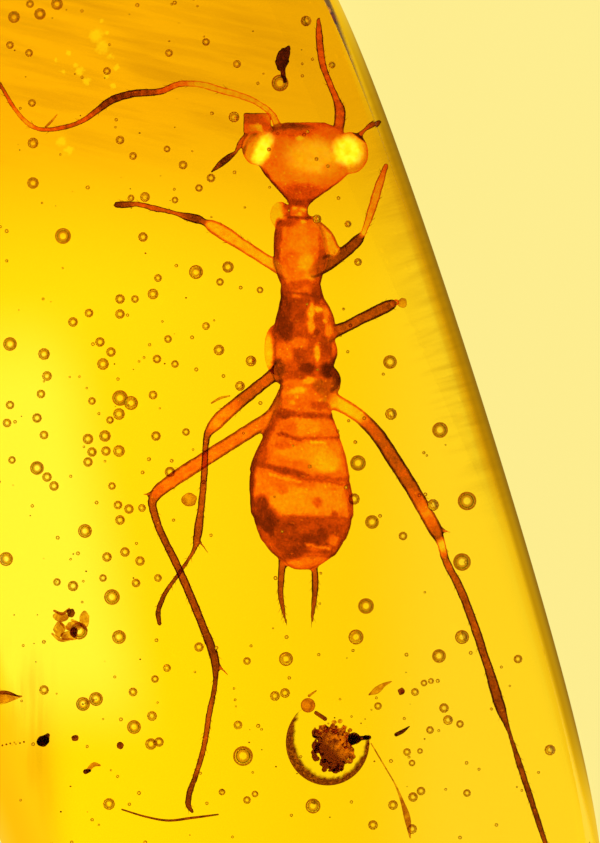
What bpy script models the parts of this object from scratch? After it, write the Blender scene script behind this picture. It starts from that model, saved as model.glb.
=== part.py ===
"""A small wingless insect sealed in a ground and polished slab of amber.

The slab lies on its flat bottom face, its length along Y and its thickness along Z. It is parted
in two at the insect's own level, and a close pocket in both halves holds the insect and the
larger bits of debris beside it. Sizes are in millimetres here and are stored in metres.
"""

import math

import bmesh
import bpy
from mathutils import Matrix, Vector

MM = 0.001

# The slab: its two long sides are shallow arcs, and its corners are well rounded.
SLAB_LENGTH = 12.5
SLAB_WIDTH = 5.9
SLAB_THICKNESS = 3.3
SIDE_BOW = 0.22
END_BOW = 0.22
CORNER_POWER = 6.0
OUTLINE_STEPS = 56

# The polished edges, from the face inwards: depth below the face, and how far the wall is in
# from the widest outline. The left-hand side is rounded off more than the right.
EDGE_ROUNDING = [(0.0, 0.13), (0.03, 0.06), (0.10, 0.015), (0.22, 0.0)]
LEFT_ROUNDING = 2.6

# The long flat that is ground off under the right-hand side. Where it meets the bottom face it
# runs almost along the slab, and from there it climbs outwards at its own slope.
FACET_X = 2.83
FACET_Y = -1.7
FACET_SLANT = -0.11
FACET_SLOPE = math.tan(math.radians(35))
FACET_LEVELS = (0.22, 0.42, 0.62)

# How the insect lies: turned in the slab, to the right of its middle, at the parting level.
INSECT_TURN = math.radians(-17.5)
INSECT_X = 1.17
INSECT_Y = 0.35
PARTING_HEIGHT = 1.70
PARTING_GAP = 0.02
POCKET_CLEARANCE = 0.04

# The body, in the insect's own frame: +Y towards the head and +Z out of its back, towards the
# slab's top face. Each section is (y, x of its middle, half width, half height).
BODY = {
    "head": [
        (2.16, 0.00, 0.09, 0.10), (2.21, 0.005, 0.135, 0.14), (2.31, 0.03, 0.25, 0.19),
        (2.41, 0.055, 0.36, 0.225), (2.52, 0.06, 0.45, 0.24), (2.64, 0.055, 0.48, 0.245),
        (2.76, 0.05, 0.47, 0.235), (2.87, 0.045, 0.41, 0.20), (2.95, 0.04, 0.31, 0.13), (2.99, 0.05, 0.20, 0.06),
    ],
    "neck": [(2.24, 0.0, 0.10, 0.10), (2.12, -0.02, 0.10, 0.095), (2.00, -0.03, 0.12, 0.11)],
    "prothorax": [
        (2.06, -0.035, 0.13, 0.13), (1.97, -0.025, 0.21, 0.20), (1.85, -0.005, 0.255, 0.25),
        (1.72, 0.0, 0.265, 0.27), (1.60, 0.0, 0.262, 0.27), (1.50, 0.0, 0.24, 0.25), (1.38, 0.005, 0.20, 0.21),
    ],
    "mesothorax": [
        (1.43, 0.005, 0.17, 0.18), (1.34, 0.01, 0.205, 0.22), (1.25, 0.02, 0.215, 0.24),
        (1.12, 0.045, 0.265, 0.28), (0.985, 0.05, 0.302, 0.30), (0.84, 0.045, 0.315, 0.30), (0.79, 0.045, 0.28, 0.27),
    ],
    "metathorax": [
        (0.86, 0.047, 0.27, 0.26), (0.78, 0.05, 0.31, 0.29), (0.69, 0.053, 0.323, 0.30),
        (0.56, 0.038, 0.30, 0.28), (0.44, 0.04, 0.25, 0.25),
    ],
}
ABDOMEN = [
    (0.50, 0.04, 0.235, 0.24), (0.34, 0.043, 0.245, 0.25), (0.20, 0.030, 0.25, 0.26), (0.05, 0.025, 0.31, 0.30),
    (-0.13, 0.014, 0.378, 0.33), (-0.33, 0.002, 0.456, 0.36), (-0.51, -0.004, 0.496, 0.38),
    (-0.66, 0.006, 0.518, 0.39), (-0.91, 0.023, 0.51, 0.38), (-1.045, 0.031, 0.476, 0.36),
    (-1.18, 0.039, 0.419, 0.33), (-1.31, 0.047, 0.328, 0.27), (-1.42, 0.041, 0.20, 0.18), (-1.49, 0.03, 0.09, 0.09),
]
# The abdomen's rings slide one under the next: where each begins and ends, how far it is tucked
# under, and its width along the way as a share of the whole abdomen's.
RING_EDGES = [0.50, 0.20, 0.06, -0.16, -0.54, -0.96, -1.20, -1.36, -1.49]
RING_OVERLAP = 0.05
RING_SHARES = ((-RING_OVERLAP, 0.925), (0.0, 0.965), (0.5, 1.0), (0.93, 1.022), (1.0, 0.985))

# Round lumps on the body: the middle and the three half sizes.
EYES = {
    "left_eye": ((-0.43, 2.735, 0.0), (0.15, 0.175, 0.17)),
    "right_eye": ((0.50, 2.685, 0.0), (0.185, 0.21, 0.18)),
}
LUMPS = {
    "left_hind_hip": ((-0.17, 0.50, -0.10), (0.11, 0.13, 0.13)),
    "right_hind_hip": ((0.31, 0.40, -0.06), (0.10, 0.15, 0.14)),
    "neck_lobe": ((-0.195, 2.065, -0.05), (0.105, 0.14, 0.06)),
    "wing_pad": ((-0.26, 0.72, 0.03), (0.10, 0.25, 0.05)),
}
# The mouth's upper plate, which stands out at the front left of the head.
MOUTH_PLATE_MIDDLE = (-0.43, 2.985, -0.02)
MOUTH_PLATE_SIZE = (0.27, 0.20, 0.09)

# Limbs: each point is (x, y, z, radius), from the body outwards.
LIMBS = {
    "left_antenna": [
        (-0.20, 2.90, 0.04, 0.040), (-0.29, 3.08, 0.08, 0.034), (-0.42, 3.18, 0.10, 0.030), (-0.58, 3.25, 0.12, 0.034),
        (-0.76, 3.30, 0.13, 0.038), (-1.02, 3.37, 0.14, 0.034), (-1.20, 3.37, 0.15, 0.033), (-1.38, 3.30, 0.15, 0.036),
        (-1.68, 3.27, 0.15, 0.041), (-1.88, 3.21, 0.14, 0.042), (-2.02, 3.11, 0.13, 0.036), (-2.16, 3.01, 0.12, 0.029),
        (-2.40, 2.93, 0.11, 0.026), (-2.62, 2.925, 0.10, 0.025), (-2.72, 2.98, 0.09, 0.025), (-2.86, 3.14, 0.08, 0.024),
        (-3.00, 3.37, 0.06, 0.023), (-3.20, 3.62, 0.04, 0.020), (-3.40, 3.78, 0.02, 0.014),
    ],
    "right_antenna": [
        (0.36, 2.80, 0.05, 0.050), (0.39, 2.96, 0.08, 0.056), (0.40, 3.11, 0.11, 0.056), (0.37, 3.20, 0.13, 0.042),
        (0.29, 3.39, 0.17, 0.034), (0.23, 3.55, 0.20, 0.037), (0.20, 3.74, 0.24, 0.040), (0.19, 3.87, 0.27, 0.038),
        (0.185, 4.01, 0.30, 0.022),
    ],
    "left_palp": [
        (-0.45, 2.84, -0.04, 0.030), (-0.55, 2.84, -0.06, 0.030), (-0.62, 2.74, -0.07, 0.026), (-0.64, 2.70, -0.07, 0.018),
        (-0.70, 2.655, -0.08, 0.034), (-0.78, 2.59, -0.09, 0.036), (-0.885, 2.50, -0.10, 0.016),
    ],
    "right_palp": [
        (0.52, 2.80, 0.0, 0.030), (0.61, 2.88, 0.0, 0.028), (0.66, 2.925, 0.0, 0.020), (0.69, 2.95, 0.0, 0.030),
        (0.72, 2.975, 0.0, 0.022),
    ],
    "left_front_leg": [
        (-0.12, 1.50, -0.15, 0.085), (-0.26, 1.57, -0.12, 0.066), (-0.55, 1.75, -0.06, 0.064), (-0.90, 1.965, 0.0, 0.056),
        (-0.95, 1.99, 0.01, 0.038), (-1.02, 2.02, 0.02, 0.048), (-1.14, 2.05, 0.03, 0.042), (-1.20, 2.07, 0.03, 0.030),
        (-1.45, 2.13, 0.02, 0.033), (-1.66, 2.175, 0.0, 0.030), (-1.72, 2.17, 0.0, 0.036), (-1.83, 2.165, -0.02, 0.036),
    ],
    "right_front_hip": [(0.12, 2.00, -0.05, 0.060), (0.26, 1.84, -0.07, 0.080), (0.345, 1.70, -0.09, 0.064)],
    "right_front_leg": [
        (0.12, 1.52, -0.16, 0.09), (0.27, 1.58, -0.13, 0.078), (0.38, 1.64, -0.09, 0.062), (0.50, 1.74, -0.05, 0.060),
        (0.60, 1.84, -0.02, 0.050), (0.625, 1.87, -0.01, 0.034), (0.66, 1.95, 0.0, 0.034), (0.72, 2.13, 0.03, 0.044),
        (0.79, 2.36, 0.06, 0.044), (0.86, 2.56, 0.08, 0.026),
    ],
    "left_middle_leg": [
        (-0.10, 0.62, -0.14, 0.10), (-0.24, 0.49, -0.15, 0.072), (-0.45, 0.32, -0.12, 0.066), (-0.66, 0.15, -0.08, 0.070),
        (-0.86, -0.04, -0.05, 0.068), (-0.92, -0.12, -0.06, 0.044), (-0.945, -0.25, -0.12, 0.034),
        (-0.955, -0.45, -0.22, 0.037), (-0.99, -0.85, -0.27, 0.038), (-1.035, -1.18, -0.31, 0.042),
        (-1.05, -1.25, -0.32, 0.030), (-1.19, -1.49, -0.35, 0.023), (-1.38, -1.78, -0.38, 0.028),
        (-1.425, -1.92, -0.39, 0.030), (-1.41, -2.03, -0.40, 0.026),
    ],
    "left_middle_spur": [(-1.00, -1.21, -0.31, 0.016), (-0.90, -1.35, -0.33, 0.005)],
    "right_middle_leg": [
        (0.20, 0.80, -0.14, 0.09), (0.35, 0.90, -0.11, 0.066), (0.42, 0.93, -0.09, 0.060), (0.68, 1.06, -0.04, 0.060),
        (0.93, 1.18, 0.0, 0.058), (0.97, 1.19, -0.03, 0.040), (1.03, 1.205, -0.14, 0.036), (1.09, 1.22, -0.36, 0.038),
        (1.13, 1.24, -0.60, 0.034), (1.14, 1.28, -0.74, 0.024),
    ],
    "left_hind_leg": [
        (-0.10, 0.30, -0.10, 0.11), (-0.27, 0.06, -0.06, 0.080), (-0.50, -0.09, 0.02, 0.076), (-0.97, -0.39, 0.12, 0.076),
        (-1.30, -0.61, 0.18, 0.074), (-1.44, -0.73, 0.20, 0.062), (-1.475, -0.81, 0.20, 0.046), (-1.45, -0.93, 0.18, 0.042),
        (-1.20, -1.50, 0.06, 0.043), (-0.98, -2.03, -0.06, 0.044), (-0.85, -2.42, -0.15, 0.044),
        (-0.845, -2.54, -0.17, 0.032), (-0.91, -2.94, -0.24, 0.034), (-0.97, -3.29, -0.30, 0.031),
        (-1.05, -3.56, -0.35, 0.030), (-1.115, -3.76, -0.38, 0.033), (-1.12, -3.86, -0.38, 0.030), (-1.075, -3.92, -0.37, 0.018),
    ],
    "left_knee_spine": [(-1.42, -0.71, 0.20, 0.035), (-1.56, -0.73, 0.20, 0.008)],
    "left_hind_spur": [(-0.83, -2.42, -0.15, 0.018), (-0.67, -2.60, -0.18, 0.005)],
    "right_hind_leg": [
        (0.14, 0.35, -0.12, 0.12), (0.31, 0.22, -0.08, 0.088), (0.53, 0.10, -0.01, 0.072), (0.74, -0.09, 0.05, 0.074),
        (0.93, -0.37, 0.09, 0.076), (1.09, -0.62, 0.10, 0.074), (1.24, -0.88, 0.10, 0.072), (1.36, -1.10, 0.08, 0.068),
        (1.40, -1.19, 0.07, 0.048), (1.45, -1.37, 0.06, 0.042), (1.58, -1.63, 0.03, 0.044), (1.87, -2.42, -0.05, 0.046),
        (2.03, -2.93, -0.10, 0.046), (2.06, -3.01, -0.11, 0.032), (2.20, -3.44, -0.14, 0.034), (2.45, -4.20, -0.18, 0.030),
        (2.57, -4.56, -0.20, 0.030), (2.64, -4.70, -0.20, 0.018),
    ],
    "right_knee_spine": [(1.38, -1.06, 0.08, 0.024), (1.51, -1.115, 0.08, 0.006)],
    "left_cercus": [
        (-0.15, -1.30, 0.0, 0.060), (-0.175, -1.42, 0.0, 0.042), (-0.19, -1.58, 0.0, 0.036), (-0.195, -1.71, 0.0, 0.032),
        (-0.165, -1.90, 0.0, 0.022), (-0.13, -2.04, 0.0, 0.008),
    ],
    "right_cercus": [
        (0.13, -1.32, 0.0, 0.060), (0.145, -1.46, 0.0, 0.036), (0.15, -1.62, 0.0, 0.036), (0.145, -1.77, 0.0, 0.030),
        (0.125, -1.94, 0.0, 0.020), (0.11, -2.07, 0.0, 0.008),
    ],
}

# Debris in the insect's frame: two slim bits like the limbs, and a clot inside an air bubble.
DARK_FRAGMENT = [
    (-0.13, 3.74, 0.02, 0.035), (-0.15, 3.68, 0.02, 0.070), (-0.17, 3.60, 0.01, 0.066), (-0.175, 3.50, 0.0, 0.038),
    (-0.15, 3.39, 0.0, 0.030),
]
HAIR_FIBRE = [
    (-1.78, -3.88, 0.0, 0.014), (-1.55, -3.95, 0.0, 0.018), (-1.32, -3.99, 0.0, 0.020), (-1.09, -3.965, 0.0, 0.022),
    (-0.82, -3.93, 0.0, 0.016),
]
CLOT_MIDDLE = (0.33, -3.30, 0.0)
CLOT_HALF_SIZE = (0.19, 0.21, 0.14)
CLOT_LUMPS = 0.16
CLOT_WAVES = ((5.1, 1.3), (6.7, -0.4), (7.9, 2.1))
BUBBLE_MIDDLE = (0.28, -3.205, 0.0)
BUBBLE_HALF_SIZE = (0.41, 0.42, 0.36)

BODY_POINTS = 16
EYE_POINTS = 12
LUMP_POINTS = 10
CLOT_POINTS = 14
CUTTER_POINTS = 8
BUBBLE_POINTS = 16
SHARP_EDGE = math.radians(40)
WELD_DISTANCE = 1e-7


def clear_scene():
    for obj in list(bpy.data.objects):
        bpy.data.objects.remove(obj, do_unlink=True)


def new_collection(name, helper=False):
    collection = bpy.data.collections.new(name)
    collection.hide_render = helper
    bpy.context.scene.collection.children.link(collection)
    return collection


def make_material(name, colour, roughness, alpha=1.0):
    material = bpy.data.materials.new(name)
    material.use_nodes = True
    shader = material.node_tree.nodes["Principled BSDF"]
    shader.inputs["Base Color"].default_value = (*colour, 1.0)
    shader.inputs["Roughness"].default_value = roughness
    shader.inputs["Alpha"].default_value = alpha
    return material


def add_object(name, mesh, collection, material=None, parent=None):
    obj = bpy.data.objects.new(name, mesh)
    collection.objects.link(obj)
    if material:
        mesh.materials.append(material)
    if parent:
        obj.parent = parent
    return obj


def add_helper(name, mesh, collection, parent):
    obj = add_object(name, mesh, collection, parent=parent)
    obj.hide_render = True
    obj.display_type = "WIRE"
    return obj


def mesh_from(bm, name):
    bmesh.ops.recalc_face_normals(bm, faces=bm.faces)
    mesh = bpy.data.meshes.new(name)
    bm.to_mesh(mesh)
    bm.free()
    mesh.shade_smooth()
    mesh.set_sharp_from_angle(angle=SHARP_EDGE)
    return mesh


def loft(name, rings):
    """A closed solid through rings of points, given in millimetres, with flat ends."""
    bm = bmesh.new()
    made = [[bm.verts.new(Vector(point) * MM) for point in ring] for ring in rings]
    for low, high in zip(made, made[1:]):
        for i in range(len(low)):
            j = (i + 1) % len(low)
            bm.faces.new((low[i], low[j], high[j], high[i]))
    bm.faces.new(made[0])
    bm.faces.new(made[-1])
    return mesh_from(bm, name)


def round_corner(value):
    return math.copysign(abs(value) ** (2 / CORNER_POWER), value)


def edge_inset(height):
    """How far the wall is in from the widest outline, at a height above the bottom face."""
    depth = min(height, SLAB_THICKNESS - height)
    for (above, near), (below, far) in zip(EDGE_ROUNDING, EDGE_ROUNDING[1:]):
        if depth <= below:
            return near + (far - near) * (depth - above) / (below - above)
    return 0.0


def slab_outline(height):
    """The slab's outline at one height: a squared-off ellipse, cut off by the ground facet."""
    inset = edge_inset(height)
    points = []
    for i in range(OUTLINE_STEPS):
        turn = 2 * math.pi * i / OUTLINE_STEPS
        across, along = round_corner(math.cos(turn)), round_corner(math.sin(turn))
        y = along * (SLAB_LENGTH / 2 - END_BOW * across * across - inset)
        half_width = SLAB_WIDTH / 2 - SIDE_BOW * along * along
        x = across * (half_width - inset * (LEFT_ROUNDING if across < 0 else 1.0))
        facet = FACET_X + FACET_SLANT * (y - FACET_Y) + height / FACET_SLOPE
        points.append((min(x, facet), y, height))
    return points


def slab_half(name, low, high):
    """The part of the slab between two heights."""
    depths = [depth for depth, _ in EDGE_ROUNDING]
    levels = {*depths, *FACET_LEVELS, *(SLAB_THICKNESS - depth for depth in depths)}
    heights = [low, *sorted(level for level in levels if low < level < high), high]
    return loft(name, [slab_outline(height) for height in heights])


def body_ring(section, grow, count):
    y, x, half_width, half_height = section
    spread = 1 / math.cos(math.pi / count) if grow else 1.0
    ring = []
    for i in range(count):
        turn = 2 * math.pi * (i + 0.5) / count
        across = (half_width + grow) * spread * math.cos(turn)
        ring.append((x + across, y, (half_height + grow) * spread * math.sin(turn)))
    return ring


def body_loft(name, sections, grow, count):
    """A body part through its sections; growth moves its sides and both its ends outwards."""
    sections = list(sections)
    (front, *front_rest), (rear, *rear_rest) = sections[0], sections[-1]
    way = math.copysign(grow, front - rear)
    sections[0] = (front + way, *front_rest)
    sections[-1] = (rear - way, *rear_rest)
    return loft(name, [body_ring(section, grow, count) for section in sections])


def abdomen_section(y):
    """The whole abdomen's section at y, read between the two that are given on either side."""
    y = max(min(y, ABDOMEN[0][0]), ABDOMEN[-1][0])
    for ahead, behind in zip(ABDOMEN, ABDOMEN[1:]):
        if y >= behind[0]:
            share = (ahead[0] - y) / (ahead[0] - behind[0])
            return [a + (b - a) * share for a, b in zip(ahead, behind)]


def abdomen_ring(name, front, rear):
    """One telescoping ring: its front is tucked under the ring before it, its rear is a rim."""
    sections = []
    for along, share in RING_SHARES:
        ahead = front + RING_OVERLAP if along < 0 else front + (rear - front) * along
        _, x, half_width, half_height = abdomen_section(ahead)
        sections.append((ahead, x, half_width * share, half_height * share))
    return body_loft(name, sections, 0.0, BODY_POINTS)


def tube(name, points, grow=0.0, bevel_steps=1):
    """A limb: a curve whose radius changes from point to point, made into a closed mesh."""
    curve = bpy.data.curves.new(name, "CURVE")
    curve.dimensions = "3D"
    curve.bevel_depth = MM
    curve.bevel_resolution = bevel_steps
    curve.use_fill_caps = True
    spline = curve.splines.new("POLY")
    spline.points.add(len(points) - 1)
    places = [Vector(point[:3]) for point in points]
    places[0] += (places[0] - places[1]).normalized() * grow
    places[-1] += (places[-1] - places[-2]).normalized() * grow
    sides = 4 + 2 * bevel_steps
    spread = 1 / math.cos(math.pi / sides) if grow else 1.0
    for knot, place, point in zip(spline.points, places, points):
        knot.co = (*(place * MM), 1.0)
        knot.radius = (point[3] + grow) * spread
    holder = bpy.data.objects.new(name, curve)
    bpy.context.scene.collection.objects.link(holder)
    graph = bpy.context.evaluated_depsgraph_get()
    drawn = bpy.data.meshes.new_from_object(holder.evaluated_get(graph))
    bpy.data.objects.remove(holder)
    bm = bmesh.new()
    bm.from_mesh(drawn)
    bpy.data.meshes.remove(drawn)
    bmesh.ops.remove_doubles(bm, verts=bm.verts, dist=WELD_DISTANCE)
    return mesh_from(bm, name)


def place_and_size(middle, sizes):
    scale = Matrix.Diagonal([size * MM for size in sizes]).to_4x4()
    return Matrix.Translation(Vector(middle) * MM) @ scale


def ellipsoid(name, middle, half_sizes, count, grow=0.0):
    bm = bmesh.new()
    bmesh.ops.create_uvsphere(bm, u_segments=count, v_segments=count // 2, radius=1.0)
    sizes = [half_size + grow for half_size in half_sizes]
    bmesh.ops.transform(bm, matrix=place_and_size(middle, sizes), verts=bm.verts)
    return mesh_from(bm, name)


def plate(name, middle, size, grow=0.0):
    bm = bmesh.new()
    bmesh.ops.create_cube(bm, size=1.0)
    sizes = [side + 2 * grow for side in size]
    bmesh.ops.transform(bm, matrix=place_and_size(middle, sizes), verts=bm.verts)
    return mesh_from(bm, name)


def clot_mesh(name):
    """A flat clot of dirt, made lumpy all round by a sum of waves."""
    bm = bmesh.new()
    bmesh.ops.create_uvsphere(bm, u_segments=CLOT_POINTS, v_segments=CLOT_POINTS // 2, radius=1.0)
    for vert in bm.verts:
        waves = sum(math.sin(rate * value + start) for value, (rate, start) in zip(vert.co, CLOT_WAVES))
        vert.co *= 1 + CLOT_LUMPS * waves / len(CLOT_WAVES)
    bmesh.ops.transform(bm, matrix=place_and_size(CLOT_MIDDLE, CLOT_HALF_SIZE), verts=bm.verts)
    return mesh_from(bm, name)


def insect_forms():
    """Every form of the insect as its own closed mesh, each one overlapping its neighbour."""
    yield from (body_loft(name, sections, 0.0, BODY_POINTS) for name, sections in BODY.items())
    for number, (front, rear) in enumerate(zip(RING_EDGES, RING_EDGES[1:]), 1):
        yield abdomen_ring(f"abdomen_ring_{number}", front, rear)
    yield from (ellipsoid(name, *eye, EYE_POINTS) for name, eye in EYES.items())
    yield from (ellipsoid(name, *lump, LUMP_POINTS) for name, lump in LUMPS.items())
    yield plate("mouth_plate", MOUTH_PLATE_MIDDLE, MOUTH_PLATE_SIZE)
    yield from (tube(name, points) for name, points in LIMBS.items())


def pocket_forms():
    """The same forms again, coarser and larger all round by the pocket's clearance."""
    grow = POCKET_CLEARANCE
    trunk = {**BODY, "abdomen": ABDOMEN}
    yield from (body_loft(name, sections, grow, CUTTER_POINTS) for name, sections in trunk.items())
    yield from (ellipsoid(name, *lump, CUTTER_POINTS, grow) for name, lump in {**EYES, **LUMPS}.items())
    yield plate("mouth_plate", MOUTH_PLATE_MIDDLE, MOUTH_PLATE_SIZE, grow)
    slim = {**LIMBS, "dark_fragment": DARK_FRAGMENT, "hair_fibre": HAIR_FIBRE}
    yield from (tube(name, points, grow, bevel_steps=0) for name, points in slim.items())
    yield ellipsoid("bubble", BUBBLE_MIDDLE, BUBBLE_HALF_SIZE, BUBBLE_POINTS, grow)


def add_boolean(obj, collection, operation):
    modifier = obj.modifiers.new(operation.lower(), "BOOLEAN")
    modifier.operation = operation
    modifier.operand_type = "COLLECTION"
    modifier.collection = collection
    modifier.solver = "EXACT"


def main():
    clear_scene()
    piece = new_collection("insect_in_amber")
    forms = new_collection("insect_forms", helper=True)
    cutters = new_collection("pocket_cutters", helper=True)

    lie = bpy.data.objects.new("insect_lie", None)
    piece.objects.link(lie)
    lie.location = Vector((INSECT_X, INSECT_Y, PARTING_HEIGHT)) * MM
    lie.rotation_euler = (0, 0, INSECT_TURN)

    cuticle = make_material("cuticle", (0.62, 0.13, 0.01), 0.4)
    dirt = make_material("dirt", (0.07, 0.02, 0.006), 0.8)
    amber = make_material("amber", (1.0, 0.62, 0.02), 0.05, alpha=0.45)

    trunk, *others = insect_forms()
    insect = add_object("insect", trunk, piece, cuticle, lie)
    for mesh in others:
        add_helper("form_" + mesh.name, mesh, forms, lie)
    add_boolean(insect, forms, "UNION")

    for name, points in (("dark_fragment", DARK_FRAGMENT), ("hair_fibre", HAIR_FIBRE)):
        add_object(name, tube(name, points), piece, dirt, lie)
    add_object("debris_clot", clot_mesh("debris_clot"), piece, dirt, lie)

    for mesh in pocket_forms():
        add_helper("cut_" + mesh.name, mesh, cutters, lie)
    lower_top = PARTING_HEIGHT - PARTING_GAP / 2
    upper_bottom = PARTING_HEIGHT + PARTING_GAP / 2
    halves = (("amber_lower", 0.0, lower_top), ("amber_upper", upper_bottom, SLAB_THICKNESS))
    for name, low, high in halves:
        half = add_object(name, slab_half(name, low, high), piece, amber)
        add_boolean(half, cutters, "DIFFERENCE")


main()
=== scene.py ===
# %% [markdown]
# # An insect in amber
#
# The real object is a small slab of fossil resin, ground flat on both faces and polished, with one
# wingless insect, a few bits of dirt and some hundreds of air bubbles sealed inside. It lies on a
# light table, and a microscope looks straight down through it.
#
# The imported CAD model is the fixed frame of this scene. It gives the size and the place of every
# piece, in metres. This script adds what faceted solids can't show: clear resin that bends light,
# round bubbles, a thin translucent skin on the insect, and its fine hairs.

# %% Load the imported model
import math
import random

import bmesh
import bpy
import numpy as np
from mathutils import Matrix, Vector, noise


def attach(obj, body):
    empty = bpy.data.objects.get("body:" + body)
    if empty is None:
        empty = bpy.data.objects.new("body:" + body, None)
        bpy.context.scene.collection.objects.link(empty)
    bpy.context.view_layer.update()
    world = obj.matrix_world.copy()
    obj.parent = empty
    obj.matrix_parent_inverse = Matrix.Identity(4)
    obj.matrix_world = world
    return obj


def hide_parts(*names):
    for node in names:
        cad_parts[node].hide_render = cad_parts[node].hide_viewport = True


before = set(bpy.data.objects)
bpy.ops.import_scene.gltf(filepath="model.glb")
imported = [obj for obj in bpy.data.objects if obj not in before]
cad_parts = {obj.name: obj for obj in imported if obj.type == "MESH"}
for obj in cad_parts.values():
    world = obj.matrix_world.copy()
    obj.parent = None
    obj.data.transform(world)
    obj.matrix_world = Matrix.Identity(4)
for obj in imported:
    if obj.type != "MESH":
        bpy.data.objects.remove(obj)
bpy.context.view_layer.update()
print("nodes:", sorted(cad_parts))

# %% [markdown]
# ## Units and the two frames
#
# The stone is only 12.5 mm long, so shapes are worked out in millimetres and are scaled to metres
# at the very end. The insect lies at an angle in the slab. Its own frame has +Y towards its head,
# and the microscope is turned the same way, so a place on the insect reads straight off the
# picture: 100 points of the picture are one millimetre.

# %% Units and the insect's lie
MM = 0.001
SLAB_LENGTH, SLAB_WIDTH, SLAB_THICKNESS = 12.5, 5.9, 3.3
INSECT_TURN = math.radians(-17.5)
INSECT_X, INSECT_Y, INSECT_HEIGHT = 1.17, 0.35, 1.70
AMBER_IOR = 1.54
FRAME_WIDTH, FRAME_HEIGHT, POINTS_PER_MM = 600, 843, 100

lie = Matrix.Translation((INSECT_X, INSECT_Y, INSECT_HEIGHT)) @ Matrix.Rotation(INSECT_TURN, 4, "Z")


def on_insect(px, py, height=0.0):
    """A point of the picture as a place in the insect's own frame, in millimetres."""
    across = (px - FRAME_WIDTH / 2) / POINTS_PER_MM
    ahead = (FRAME_HEIGHT / 2 - py) / POINTS_PER_MM
    return Vector((across, ahead, height))


print("the insect's middle in the slab:", [round(v, 3) for v in lie @ on_insect(300, 421.5)])

# %% [markdown]
# ## The camera
#
# A microscope sees almost without perspective, so the lens is very long. Amber bends light: seen
# from straight above, something sealed in it looks nearer to the top face than it is, by the
# refractive index. The distance is set so that the insect's level, where it seems to be, fills the
# frame at exactly the right scale.

# %% Camera
LENS, SENSOR = 300.0, 36.0
insect_depth = (SLAB_THICKNESS - INSECT_HEIGHT) / AMBER_IOR
view_distance = FRAME_HEIGHT / POINTS_PER_MM / SENSOR * LENS
camera_height = SLAB_THICKNESS - insect_depth + view_distance

lens = bpy.data.cameras.new("microscope")
lens.lens = LENS
lens.sensor_width = SENSOR
lens.clip_start = 0.001
lens.clip_end = 10.0
camera = bpy.data.objects.new("microscope", lens)
bpy.context.scene.collection.objects.link(camera)
camera.location = Vector((INSECT_X, INSECT_Y, camera_height)) * MM
camera.rotation_euler = (0, 0, INSECT_TURN)
bpy.context.scene.camera = camera


def seen_at(px, py, height):
    """The place in the slab, at a height above the table, that shows at a point of the picture."""
    depth = (SLAB_THICKNESS - height) / AMBER_IOR
    share = (camera_height - SLAB_THICKNESS + depth) / view_distance
    turned = Matrix.Rotation(INSECT_TURN, 3, "Z") @ on_insect(px, py) * share
    return Vector((INSECT_X + turned.x, INSECT_Y + turned.y, height))


print("the camera is", round(camera_height, 1), "mm above the table")

# %% [markdown]
# ## Writing materials as sums
#
# A procedural material is a network of small steps. Wiring each step by hand hides the idea, so
# `Wire` wraps one output of a node and lets it be used in an ordinary sum: `1 - mask * 0.5` adds
# the two Math nodes that it needs. `Finish` holds one node tree, and its single method `node` adds
# any other kind: first the node's settings, then the values or wires of its sockets.

# %% A wire and a finish
class Wire:
    """An output of a node. Sums on it add Math nodes to the same tree."""

    def __init__(self, finish, socket):
        self.finish = finish
        self.socket = socket

    def sum(self, operation, first, second):
        return self.finish.node("ShaderNodeMath", {"operation": operation}, {0: first, 1: second})

    def __add__(self, other):
        return self.sum("ADD", self, other)

    def __radd__(self, other):
        return self.sum("ADD", other, self)

    def __sub__(self, other):
        return self.sum("SUBTRACT", self, other)

    def __rsub__(self, other):
        return self.sum("SUBTRACT", other, self)

    def __mul__(self, other):
        return self.sum("MULTIPLY", self, other)

    def __rmul__(self, other):
        return self.sum("MULTIPLY", other, self)

    def __truediv__(self, other):
        return self.sum("DIVIDE", self, other)

    def __pow__(self, other):
        return self.sum("POWER", self, other)


def socket_named(sockets, name):
    if isinstance(name, int):
        return sockets[name]
    return next(s for s in sockets if name in (s.identifier, s.name))


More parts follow.
